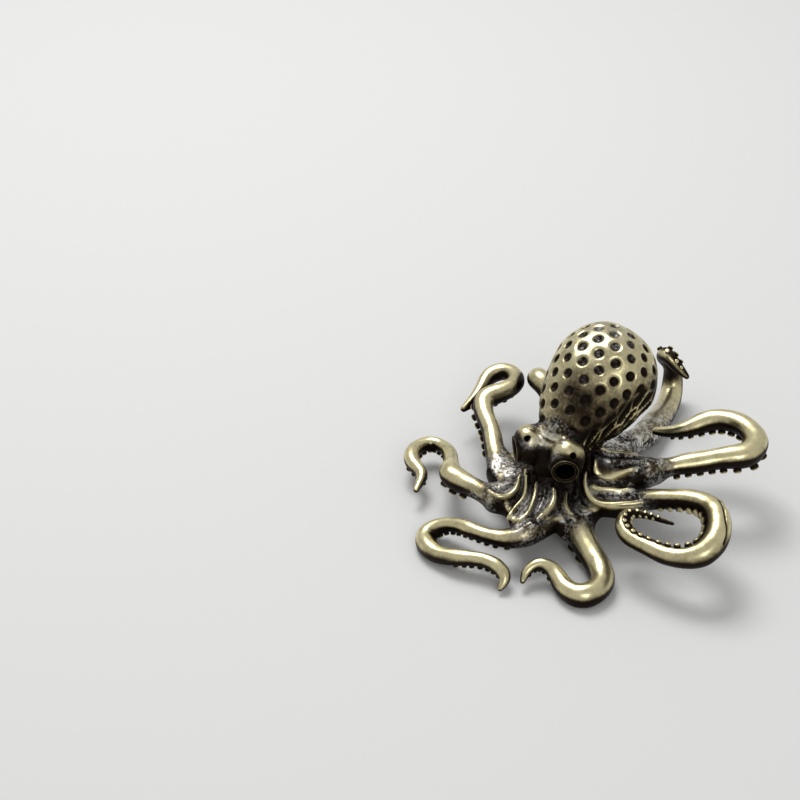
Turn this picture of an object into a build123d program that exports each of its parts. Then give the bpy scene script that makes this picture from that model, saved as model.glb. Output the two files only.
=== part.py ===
"""Solid brass octopus figurine, 60 mm across, cast from a wax master that is made up of a mantle, a head, a web and eight
curled arms with their suckers. Millimetres, +Z up, face towards -Y, standing on three or more arms at z = 0."""

import os
from copy import copy
from dataclasses import dataclass
from math import acos, ceil, cos, pi, radians, sin

from build123d import *

# Arms
arm_reach = 30.0  # plan distance that the route tables are shares of
arm_lift = 10.0  # clearance under an arm that the route tables are shares of
arm_width = 3.8  # diameter of an arm at its thickest
pad_depth = 0.15  # how far the resting arms are filed flat
arm_sections = 17
bend_weight = 2.6  # extra share of the sections that a bend of one radian takes, in mm of arm
round_sides = 16  # flats that stand for a round section, which keeps the whole light

# Web between the arms
web_crest = 8.4  # height of the web's middle line where it meets the neck
web_start = 1.5  # plan distance from the neck's middle to where each lobe starts
web_start_half_width = 3.4
web_start_half_depth = 2.2
web_middle_half_depth = 1.35
web_middle_share = 0.56  # place of a lobe's middle section between its ends
web_middle_height_share = 0.36  # height of that section between its ends
web_spread_share = 0.50  # a lobe's half width over the distance to its neighbours
collar_radius = 6.2
collar_foot = 5.6  # height of the collar's underside
collar_height = 5.0

# Head
head_height = 10.4  # from the neck's foot to the top of the forehead
head_foot = 6.4  # height of the neck's foot
head_width = 8.4  # at the eyes
head_depth = 7.8
head_side = 0.4  # how far the head and mantle stand off the neck's middle, to +X
head_lean = 2.7  # how far the face stands in front of the neck's foot
eye_spread = 6.5  # between the middles of the two eye bulges
eye_height = 13.4
eye_forward = 4.2
eye_radius = 2.6
eye_turn = 40.0  # degrees that each eye looks to its own side
eye_raise = 10.0  # degrees that each eye looks up
socket_radius = 2.0
socket_depth = 1.4
ring_height = 1.15
ring_wall = 0.6

# Mantle
mantle_length = 23.0
mantle_radius = 8.2
mantle_pitch = 25.0  # degrees that the mantle's long axis rises to the back
mantle_nose_forward = 3.1  # the mantle's front end, in front of the neck's middle
mantle_nose_height = 13.7
mantle_belly_share = 0.64  # place of its widest round between its ends, behind which it is a half ball
mantle_bands = 8  # straight stretches that stand for the half ball, which keeps it light

# Suckers
sucker_height = 0.45
sucker_sink = 0.25  # how deep a sucker's foot reaches into the arm's round before it is trimmed to it
sucker_pitch_share = 2.0  # of the arm's radius beside it
sucker_least_pitch = 1.7
sucker_width_share = 0.36  # of the arm's radius beside it, so that a sucker stands on one flat
sucker_rim_share = 0.8  # of the sucker's width
sucker_row_flats = 1.5  # flats from the middle of the sucker side to each row
sucker_first_share = 0.14
sucker_last_share = 0.93
sucker_least_lift = 0.75  # arms lower than this over the table carry none underneath

overrun = 1.0  # how far a cutting tool passes the face that it cuts
loft_steps = 3  # sections in each length that an arm is put together from
turn_steps = 60  # steps along a whole arm in which its sucker side is carried round the bends


@dataclass(frozen=True)
class Arm:
    """One arm: its route and its sucker side.

    Each row of route_shares is across (X), back (Y), lift of its underside over the table, and thickness, as shares of
    arm_reach, arm_reach, arm_lift and arm_width. turn_flats is how many flats of the round the sucker side is rolled
    from under the arm towards the right of its way out.
    """

    name: str
    route_shares: tuple
    turn_flats: int = 0


ARMS = (
    Arm(
        "arm_front_right",
        (
            (0.19, -0.16, 0.25, 0.94), (0.30, -0.22, 0.16, 1.00), (0.39, -0.27, 0.09, 1.00), (0.47, -0.32, 0.03, 1.00),
            (0.53, -0.39, 0.00, 0.98), (0.54, -0.47, 0.00, 0.94), (0.50, -0.53, 0.00, 0.90), (0.42, -0.53, 0.02, 0.80),
            (0.35, -0.50, 0.09, 0.67), (0.30, -0.49, 0.18, 0.57), (0.25, -0.51, 0.24, 0.50), (0.22, -0.57, 0.19, 0.38),
            (0.23, -0.62, 0.15, 0.20),
        ),
    ),
    Arm(
        "arm_front_left",
        (
            (0.11, -0.35, 0.44, 0.74), (0.12, -0.43, 0.42, 0.72), (0.07, -0.49, 0.38, 0.70), (-0.04, -0.53, 0.35, 0.65),
            (-0.18, -0.53, 0.30, 0.60), (-0.28, -0.53, 0.22, 0.61), (-0.35, -0.56, 0.10, 0.68), (-0.37, -0.61, 0.00, 0.76),
            (-0.32, -0.67, 0.00, 0.78), (-0.23, -0.70, 0.04, 0.72), (-0.12, -0.69, 0.13, 0.64), (0.00, -0.65, 0.19, 0.61),
            (0.09, -0.64, 0.18, 0.57), (0.15, -0.66, 0.12, 0.44), (0.16, -0.71, 0.06, 0.22),
        ),
    ),
    Arm(
        "arm_left_front",
        (
            (-0.17, -0.33, 0.45, 0.74), (-0.26, -0.31, 0.44, 0.80), (-0.36, -0.30, 0.42, 0.90), (-0.45, -0.29, 0.41, 0.98),
            (-0.53, -0.20, 0.39, 0.72), (-0.61, -0.10, 0.34, 0.61), (-0.70, -0.04, 0.28, 0.58), (-0.78, -0.04, 0.26, 0.59),
            (-0.81, -0.10, 0.25, 0.63), (-0.79, -0.19, 0.26, 0.66), (-0.73, -0.25, 0.25, 0.63), (-0.66, -0.28, 0.25, 0.50),
            (-0.62, -0.34, 0.26, 0.38), (-0.60, -0.40, 0.27, 0.24),
        ),
    ),
    Arm(
        "arm_left_back",
        (
            (-0.27, -0.11, 0.36, 0.73), (-0.35, -0.05, 0.44, 0.77), (-0.43, 0.03, 0.51, 0.78), (-0.52, 0.12, 0.57, 0.78),
            (-0.62, 0.20, 0.62, 0.79), (-0.67, 0.28, 0.68, 0.76), (-0.63, 0.38, 0.74, 0.75), (-0.63, 0.49, 0.75, 0.68),
            (-0.70, 0.57, 0.74, 0.60), (-0.78, 0.58, 0.71, 0.56), (-0.84, 0.53, 0.65, 0.55), (-0.84, 0.44, 0.59, 0.50),
            (-0.82, 0.35, 0.54, 0.41), (-0.80, 0.27, 0.51, 0.22),
        ),
        -1,
    ),
    Arm(
        "arm_back_left",
        (
            (-0.27, 0.25, 0.36, 0.76), (-0.30, 0.36, 0.41, 0.75), (-0.35, 0.44, 0.60, 0.73), (-0.41, 0.49, 0.82, 0.71),
            (-0.47, 0.51, 0.95, 0.68), (-0.51, 0.54, 0.91, 0.65), (-0.53, 0.59, 0.76, 0.61), (-0.53, 0.64, 0.59, 0.56),
            (-0.49, 0.68, 0.45, 0.48), (-0.43, 0.71, 0.41, 0.36), (-0.38, 0.69, 0.43, 0.20),
        ),
    ),
    Arm(
        "arm_back_right",
        (
            (0.03, 0.48, 0.24, 1.08), (0.03, 0.64, 0.12, 1.10), (0.02, 0.81, 0.03, 1.12), (-0.01, 0.98, 0.00, 1.08),
            (-0.05, 1.12, 0.00, 1.00), (-0.08, 1.21, 0.12, 0.90), (-0.10, 1.24, 0.36, 0.83), (-0.11, 1.22, 0.64, 0.77),
            (-0.12, 1.17, 0.86, 0.70), (-0.09, 1.14, 0.97, 0.62), (-0.03, 1.14, 0.87, 0.52), (0.04, 1.15, 0.76, 0.26),
        ),
    ),
    Arm(
        "arm_right_back",
        (
            (0.38, 0.20, 0.80, 0.73), (0.47, 0.30, 0.87, 0.76), (0.57, 0.40, 0.91, 0.83), (0.67, 0.49, 0.96, 0.87),
            (0.74, 0.57, 0.99, 0.84), (0.73, 0.67, 1.03, 0.72), (0.65, 0.75, 1.05, 0.65), (0.55, 0.78, 1.03, 0.65),
            (0.46, 0.76, 1.00, 0.64), (0.39, 0.70, 0.94, 0.56), (0.33, 0.64, 0.88, 0.45), (0.26, 0.61, 0.82, 0.33),
            (0.19, 0.60, 0.79, 0.17),
        ),
    ),
    Arm(
        "arm_right_front",
        (
            (0.38, 0.02, 0.53, 0.71), (0.48, 0.08, 0.65, 0.72), (0.59, 0.12, 0.74, 0.78), (0.70, 0.14, 0.80, 0.86),
            (0.81, 0.12, 0.84, 0.94), (0.90, 0.04, 0.82, 0.98), (0.94, -0.05, 0.73, 0.97), (0.92, -0.13, 0.64, 0.90),
            (0.85, -0.19, 0.59, 0.80), (0.76, -0.21, 0.57, 0.72), (0.65, -0.21, 0.58, 0.65), (0.55, -0.20, 0.61, 0.60),
            (0.49, -0.16, 0.67, 0.53), (0.48, -0.09, 0.74, 0.42), (0.54, -0.06, 0.79, 0.31), (0.63, -0.06, 0.85, 0.20),
            (0.71, -0.06, 0.90, 0.11),
        ),
        3,
    ),
)

# Mantle profile in front of its belly: share of mantle_length from its front end, share of mantle_radius
MANTLE_SHARES = (
    (0.00, 0.00), (0.02, 0.20), (0.06, 0.36), (0.15, 0.53), (0.26, 0.70), (0.37, 0.83), (0.50, 0.95),
)

# Head sections: share of head_height from the foot, shares of head_width and head_depth, share of head_lean
HEAD_SHARES = (
    (0.00, 0.88, 0.95, 0.00), (0.30, 0.88, 0.98, 0.30), (0.55, 0.96, 1.00, 0.75), (0.75, 1.00, 0.96, 1.00),
    (0.92, 0.80, 0.78, 1.00), (1.00, 0.50, 0.50, 0.90),
)

# Eye bulge sections: share of eye_radius along its look, share of eye_radius
EYE_SHARES = ((-0.60, 0.80), (-0.20, 0.98), (0.20, 0.98), (0.60, 0.80), (0.90, 0.44))

# Collar sections: share of collar_height from its foot, share of collar_radius
COLLAR_SHARES = ((0.00, 0.60), (0.20, 1.00), (0.50, 0.88), (1.00, 0.66))


def oval(plane, half_width, half_depth):
    """A many-sided oval on a plane, its half width along the plane's X."""
    turns = [2 * pi * side / round_sides for side in range(round_sides)]
    corners = [plane.from_local_coords((half_width * cos(turn), half_depth * sin(turn))) for turn in turns]
    return make_face(Polyline(*corners, close=True))


def route_of(arm):
    """The middle-line points of an arm and its radius at each."""
    points, radii = [], []
    for across, back, lift, thickness in arm.route_shares:
        radius = thickness * arm_width / 2
        points.append(Vector(across * arm_reach, back * arm_reach, lift * arm_lift + radius - pad_depth))
        radii.append(radius)
    return points, radii


def line_of(arm):
    """The smooth middle line of an arm."""
    points, _ = route_of(arm)
    return Spline(*points)


def square_to(vector, tangent):
    """The part of a vector that stands square to the tangent, at length one."""
    return (vector - tangent * vector.dot(tangent)).normalized()


def rolled(plane, degrees):
    """A plane turned about its own Z, from its X away from its Y."""
    angle = radians(degrees)
    across = plane.x_dir * cos(angle) - plane.y_dir * sin(angle)
    return Plane(origin=plane.origin, x_dir=across, z_dir=plane.z_dir)


def stations_of(arm, shares):
    """Planes square to an arm at shares of its line, Z along it and X under it, carried round the bends."""
    line = line_of(arm)
    under = Vector(0, 0, -1)
    planes = []
    passed = 0.0
    for share in shares:
        steps = max(1, ceil((share - passed) * turn_steps))
        for step in range(1, steps + 1):
            tangent = line % (passed + (share - passed) * step / steps)
            under = square_to(under, tangent)
        passed = share
        planes.append(Plane(origin=line @ share, x_dir=under, z_dir=tangent))
    return planes


def radius_at(arm, share):
    """The arm's radius at a share of its line."""
    line = line_of(arm)
    points, radii = route_of(arm)
    marks = [line.param_at_point(point) for point in points]
    after = next((index for index, mark in enumerate(marks) if mark > share), len(marks) - 1)
    part = (share - marks[after - 1]) / (marks[after] - marks[after - 1])
    return radii[after - 1] + (radii[after] - radii[after - 1]) * part


def section_shares(arm):
    """Shares of an arm's line for its sections, closer together where it bends."""
    line = line_of(arm)
    marks = [step / turn_steps for step in range(turn_steps + 1)]
    weights = [0.0]
    for before, after in zip(marks, marks[1:]):
        bend = acos(min(1.0, (line % before).dot(line % after)))
        length = (line @ after - line @ before).length
        weights.append(weights[-1] + length + bend * bend_weight)
    shares = [0.0]
    for section in range(1, arm_sections - 1):
        wanted = weights[-1] * section / (arm_sections - 1)
        after = next(index for index, weight in enumerate(weights) if weight > wanted)
        part = (wanted - weights[after - 1]) / (weights[after] - weights[after - 1])
        shares.append((after - 1 + part) / turn_steps)
    return [*shares, 1.0]


def floor_block():
    """Everything under the table's surface, to file the pads flat."""
    side = 4 * arm_reach
    return Pos(0, 0, -side / 2) * Box(side, side, side)


def arm_solid(arm):
    """A tapered tube along the arm's middle line, filed flat where it rests."""
    shares = section_shares(arm)
    radii = [radius_at(arm, share) for share in shares]
    rounds = [oval(plane, radius, radius) for plane, radius in zip(stations_of(arm, shares), radii)]
    starts = range(0, len(rounds) - 1, loft_steps)
    lengths = [loft(rounds[start : start + loft_steps + 1], ruled=True) for start in starts]
    return lengths[0].fuse(*lengths[1:]) - floor_block()


def sucker_group(arm, body):
    """Both rows of an arm's suckers, closer as it thins, their feet trimmed to its round."""
    length = line_of(arm).length
    shares = []
    share = sucker_first_share
    while share < sucker_last_share:
        shares.append(share)
        share += max(radius_at(arm, share) * sucker_pitch_share, sucker_least_pitch) / length
    suckers = []
    for share, plane in zip(shares, stations_of(arm, shares)):
        radius = radius_at(arm, share)
        width = radius * sucker_width_share
        for row in (-sucker_row_flats, sucker_row_flats):
            out = rolled(plane, (arm.turn_flats + row) * 360 / round_sides).x_dir
            foot = Plane(origin=plane.origin + out * (radius - sucker_sink), x_dir=plane.z_dir, z_dir=out)
            top = foot.offset(sucker_sink + sucker_height)
            if out.Z < 0 and top.origin.Z - width < sucker_least_lift:
                continue
            bottom = foot * Rectangle(width, width)
            rim = top * Rectangle(width * sucker_rim_share, width * sucker_rim_share)
            suckers.append(loft([bottom, rim], ruled=True))
    return (Compound(children=suckers) - body).solids()


def level_plane(origin, tangent):
    """The plane square to a way that isn't upright, its X level."""
    return Plane(origin=origin, x_dir=Vector(0, 0, 1).cross(tangent), z_dir=tangent)


def lobe_middle(arm):
    """Where the middle section of an arm's web lobe stands."""
    end = route_of(arm)[0][0]
    way = Vector(end.X, end.Y, 0)
    flat = way * web_middle_share
    return flat + Vector(0, 0, end.Z + (web_crest - end.Z) * web_middle_height_share)


def web_lobe(arm, before, after):
    """The part of the web that runs from the neck to one arm's root, between its two neighbours."""
    root = stations_of(arm, (0.0,))[0]
    way = Vector(root.origin.X, root.origin.Y, 0).normalized()
    start = way * web_start + Vector(0, 0, web_crest)
    middle = lobe_middle(arm)
    gaps = [(lobe_middle(neighbour) - middle).length for neighbour in (before, after)]
    half_width = web_spread_share * sum(gaps) / len(gaps)
    radius = route_of(arm)[1][0]
    sections = [
        oval(level_plane(start, way), web_start_half_width, web_start_half_depth),
        oval(level_plane(middle, root.origin - start), half_width, web_middle_half_depth),
        oval(level_plane(root.origin, root.z_dir), radius, radius),
    ]
    return loft(sections, ruled=True)


def web_solid():
    """The collar round the neck's foot with the eight lobes that grow out of it."""
    rounds = []
    for rise, width in COLLAR_SHARES:
        level = Plane(origin=(0, 0, collar_foot + rise * collar_height))
        rounds.append(oval(level, width * collar_radius, width * collar_radius))
    web = loft(rounds, ruled=True)
    for index, arm in enumerate(ARMS):
        web += web_lobe(arm, ARMS[index - 1], ARMS[(index + 1) % len(ARMS)])
    return web


def head_solid():
    """Neck and face, with the two eye bulges and their sockets."""
    rounds = []
    for rise, width, depth, lean in HEAD_SHARES:
        level = Plane(origin=(head_side * rise, -lean * head_lean, head_foot + rise * head_height))
        rounds.append(oval(level, width * head_width / 2, depth * head_depth / 2))
    head = loft(rounds, ruled=True)
    for side in (-1, 1):
        head += eye_bulge(side)
    for side in (-1, 1):
        depth = socket_depth + overrun
        middle = eye_radius - socket_depth / 2 + overrun / 2
        head -= eye_place(side) * Pos(0, 0, middle) * Cylinder(socket_radius, depth)
    return head


def eye_place(side):
    """The middle of an eye bulge, with Z along its look."""
    turn, raised = radians(eye_turn), radians(eye_raise)
    look = Vector(side * sin(turn) * cos(raised), -cos(turn) * cos(raised), sin(raised))
    origin = (head_side + side * eye_spread / 2, -eye_forward, eye_height)
    return Plane(origin=origin, z_dir=look).location


def eye_bulge(side):
    """The round that carries an eye."""
    rounds = []
    for along, out in EYE_SHARES:
        level = Plane(eye_place(side) * Pos(0, 0, along * eye_radius))
        rounds.append(oval(level, out * eye_radius, out * eye_radius))
    return loft(rounds, ruled=True)


def eye_ring(side):
    """The rim that stands in an eye's socket round the pupil's hole."""
    foot = eye_radius - socket_depth
    ring = Cylinder(socket_radius, ring_height) - Cylinder(socket_radius - ring_wall, ring_height + overrun)
    return eye_place(side) * Pos(0, 0, foot + ring_height / 2) * ring


def mantle_solid():
    """The egg-shaped mantle, revolved about its leaning axis."""
    turns = [pi / 2 * band / mantle_bands for band in range(mantle_bands + 1)]
    back = [(mantle_belly_share + (1 - mantle_belly_share) * sin(turn), cos(turn)) for turn in turns]
    outline = [(along * mantle_length, out * mantle_radius) for along, out in (*MANTLE_SHARES, *back)]
    egg = revolve(make_face(Polyline(*outline, close=True)), Axis.X)
    pitch = radians(mantle_pitch)
    axis = Vector(0, cos(pitch), sin(pitch))
    nose = Plane(origin=(head_side, -mantle_nose_forward, mantle_nose_height), x_dir=axis, z_dir=(1, 0, 0))
    return nose.location * egg


def main():
    """Builds every node, stands the whole on the table's middle and writes the files."""
    os.makedirs("parts", exist_ok=True)
    mantle = mantle_solid()
    head = head_solid() - mantle
    rings = {"eye_ring_right": eye_ring(1), "eye_ring_left": eye_ring(-1)}
    arms = {arm.name: arm_solid(arm) for arm in ARMS}
    web = web_solid()
    for body in (head, mantle, *arms.values()):
        web -= body
    nodes = {"mantle": mantle, "head": head, "web": web, **rings, **arms}
    for arm in ARMS:
        group = sucker_group(arm, arms[arm.name])
        nodes[arm.name.replace("arm", "suckers")] = Compound(children=group)
    box = Compound(children=[copy(node) for node in nodes.values()]).bounding_box()
    shift = Pos(-box.center().X, -box.center().Y, 0)
    print("shift", box.center(), "size", box.size)
    for name, node in nodes.items():
        export_step(shift * node, f"parts/{name}.step")


main()
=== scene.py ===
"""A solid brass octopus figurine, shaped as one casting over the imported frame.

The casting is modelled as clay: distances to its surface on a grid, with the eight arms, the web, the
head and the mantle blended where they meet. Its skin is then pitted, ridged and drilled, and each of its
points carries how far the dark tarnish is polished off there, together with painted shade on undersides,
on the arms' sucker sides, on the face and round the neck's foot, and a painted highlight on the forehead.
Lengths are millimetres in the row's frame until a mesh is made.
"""

import logging
import math
from dataclasses import dataclass, field
from enum import Enum

import bpy
import numpy as np
from mathutils import Matrix, Vector

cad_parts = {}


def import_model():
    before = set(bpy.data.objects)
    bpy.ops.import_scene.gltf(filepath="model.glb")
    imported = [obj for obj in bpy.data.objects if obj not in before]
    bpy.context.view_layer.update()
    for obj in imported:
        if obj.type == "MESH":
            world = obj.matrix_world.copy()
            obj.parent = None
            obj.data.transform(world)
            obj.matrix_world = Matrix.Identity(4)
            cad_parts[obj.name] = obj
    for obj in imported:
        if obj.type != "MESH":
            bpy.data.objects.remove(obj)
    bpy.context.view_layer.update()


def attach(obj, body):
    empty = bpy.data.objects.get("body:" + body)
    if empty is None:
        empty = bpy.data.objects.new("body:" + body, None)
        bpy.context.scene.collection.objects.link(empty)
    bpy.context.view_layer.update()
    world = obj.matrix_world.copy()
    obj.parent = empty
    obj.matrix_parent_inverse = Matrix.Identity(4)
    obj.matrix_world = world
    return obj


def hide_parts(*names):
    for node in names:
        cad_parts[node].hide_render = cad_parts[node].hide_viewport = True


LOG = logging.getLogger("octopus")

METRES = 0.001  # metres in a millimetre
TABLE_MIDDLE = np.array([1.7245, 8.4768, 0.0])  # middle of the whole, seen from the neck's foot
FAR = 3.0  # distance that stands for open air in the clay's grid
CORNERS = np.array([[c & 1, c >> 1 & 1, c >> 2 & 1] for c in range(8)])  # grid steps to a cell's corners
POINTS_AT_ONCE = 4000  # how many points are measured in one go, which bounds the memory
TINY = 1e-9  # keeps a division by a length of nothing finite
QUICK_CELL, FINE_CELL = 0.3, 0.18

Numbers = np.ndarray | float
Window = tuple[slice, ...]  # part of the clay's grid
Axes = tuple[np.ndarray, np.ndarray, np.ndarray]  # X, Y and Z that broadcast over a window
Measured = tuple[np.ndarray, Window]  # distances and the window that they cover
Span = tuple[float, float]  # where a change starts and where it is complete
Place = tuple[float, float, float]
Rows = tuple[tuple[float, ...], ...]
Colour = tuple[float, float, float, float]


class Slot(Enum):
    """Material slots of the record."""

    POLISHED = "polished_brass"
    AGED = "aged_brass"


class Side(Enum):
    """Sides of the face, by their sign along X."""

    LEFT = -1
    RIGHT = 1


class Sum(Enum):
    """What a math node does with its two numbers."""

    ADD = "ADD"
    SUBTRACT = "SUBTRACT"
    MULTIPLY = "MULTIPLY"


def smooth_step(value: Numbers, low: Numbers, high: Numbers) -> Numbers:
    """Eases from 0 to 1.

    Args:
        value: Number or array to look up.
        low: Value at which the result is still 0.
        high: Value from which the result is 1.

    Returns:
        The eased share, shaped like value.
    """
    share = np.clip((value - low) / (high - low), 0.0, 1.0)
    return share * share * (3.0 - 2.0 * share)


def swelling(value: Numbers, middle: float, width: Numbers) -> Numbers:
    """Falls off to both sides of a middle, as a bell does.

    Args:
        value: Number or array to look up.
        middle: Value at which the result is 1.
        width: How far from the middle the result is down to about a third.

    Returns:
        The share, shaped like value.
    """
    return np.exp(-(((value - middle) / width) ** 2))


def blended(first: np.ndarray, second: np.ndarray, width: float) -> np.ndarray:
    """Joins two distance fields with a fillet.

    Args:
        first: Distances to one surface.
        second: Distances to the other.
        width: Size of the fillet.

    Returns:
        Distances to the joined surface.
    """
    overlap = np.maximum(width - np.abs(first - second), 0.0)
    return np.minimum(first, second) - overlap * overlap / (4.0 * width)


def cornered(first: np.ndarray, second: np.ndarray, width: float) -> np.ndarray:
    """Keeps what two distance fields share, with a rounded corner.

    Args:
        first: Distances to one surface.
        second: Distances to the other.
        width: Size of the rounding.

    Returns:
        Distances to the shared form.
    """
    overlap = np.maximum(width - np.abs(first - second), 0)
    return np.maximum(first, second) + overlap**2 / (4 * width)


def ball(axes: Axes, place: np.ndarray, radius: float) -> np.ndarray:
    """Measures to a ball.

    Args:
        axes: X, Y and Z of the grid part.
        place: Middle of the ball.
        radius: Its radius.

    Returns:
        Distances over the grid part.
    """
    x, y, z = axes
    return np.sqrt((x - place[0]) ** 2 + (y - place[1]) ** 2 + (z - place[2]) ** 2) - radius


def nearest(points: np.ndarray, marks: np.ndarray, count: int = 1) -> tuple[np.ndarray, np.ndarray]:
    """Finds the distances from points to their nearest marks.

    Args:
        points: Array of places.
        marks: Array of places to measure to.
        count: How many of the nearest marks are wanted.

    Returns:
        Distances, one row per point, and the index of the nearest mark.
    """
    found = np.empty((len(points), count))
    index = np.empty(len(points), dtype=int)
    for start in range(0, len(points), POINTS_AT_ONCE):
        part = slice(start, start + POINTS_AT_ONCE)
        square = ((points[part, None, :] - marks[None, :, :]) ** 2).sum(axis=2)
        index[part] = square.argmin(axis=1)
        found[part] = np.sqrt(np.partition(square, count - 1, axis=1)[:, :count])
    return np.sort(found, axis=1), index


def smooth_curve(knots: np.ndarray, step: float) -> tuple[np.ndarray, np.ndarray]:
    """Runs a natural cubic curve through knots.

    Args:
        knots: Rows of coordinates; the first three at most are lengths.
        step: Distance between the curve's points.

    Returns:
        Rows of the curve, and the distance run at each.
    """
    spans = np.linalg.norm(np.diff(knots[:, :3], axis=0), axis=1)
    marks = np.concatenate([[0.0], np.cumsum(spans)])
    matrix = np.eye(len(knots))
    wanted = np.zeros_like(knots)
    for index in range(1, len(knots) - 1):
        before, after = spans[index - 1], spans[index]
        matrix[index, index - 1 : index + 2] = before, 2 * (before + after), after
        slopes = np.diff(knots[index - 1 : index + 2], axis=0) / np.array([[before], [after]])
        wanted[index] = 6 * (slopes[1] - slopes[0])
    bends = np.linalg.solve(matrix, wanted)
    where = np.arange(0.0, marks[-1], step)
    part = np.clip(np.searchsorted(marks, where, "right") - 1, 0, len(spans) - 1)
    span = spans[part][:, None]
    left, right = (marks[part + 1] - where)[:, None], (where - marks[part])[:, None]
    curve = (bends[part] * left**3 + bends[part + 1] * right**3) / (6 * span)
    curve += (knots[part] / span - bends[part] * span / 6) * left
    curve += (knots[part + 1] / span - bends[part + 1] * span / 6) * right
    return curve, where


def facing_way(turn: float, raised: float) -> np.ndarray:
    """Finds a direction from the way that it is turned.

    Args:
        turn: Degrees from straight ahead towards the right.
        raised: Degrees up from level.

    Returns:
        Direction of length one.
    """
    turn, raised = math.radians(turn), math.radians(raised)
    flat = math.cos(raised)
    return np.array([math.sin(turn) * flat, -math.cos(turn) * flat, math.sin(raised)])


def along_and_out(points: np.ndarray, place: np.ndarray, way: np.ndarray) -> tuple[np.ndarray, np.ndarray]:
    """Measures along an axis and away from it.

    Args:
        points: Array of places.
        place: Where the axis starts.
        way: Its direction, of length one.

    Returns:
        Distances along the axis and distances from it.
    """
    away = points - place
    along = away @ way
    return along, np.sqrt(np.maximum((away**2).sum(axis=1) - along**2, 0))


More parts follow.
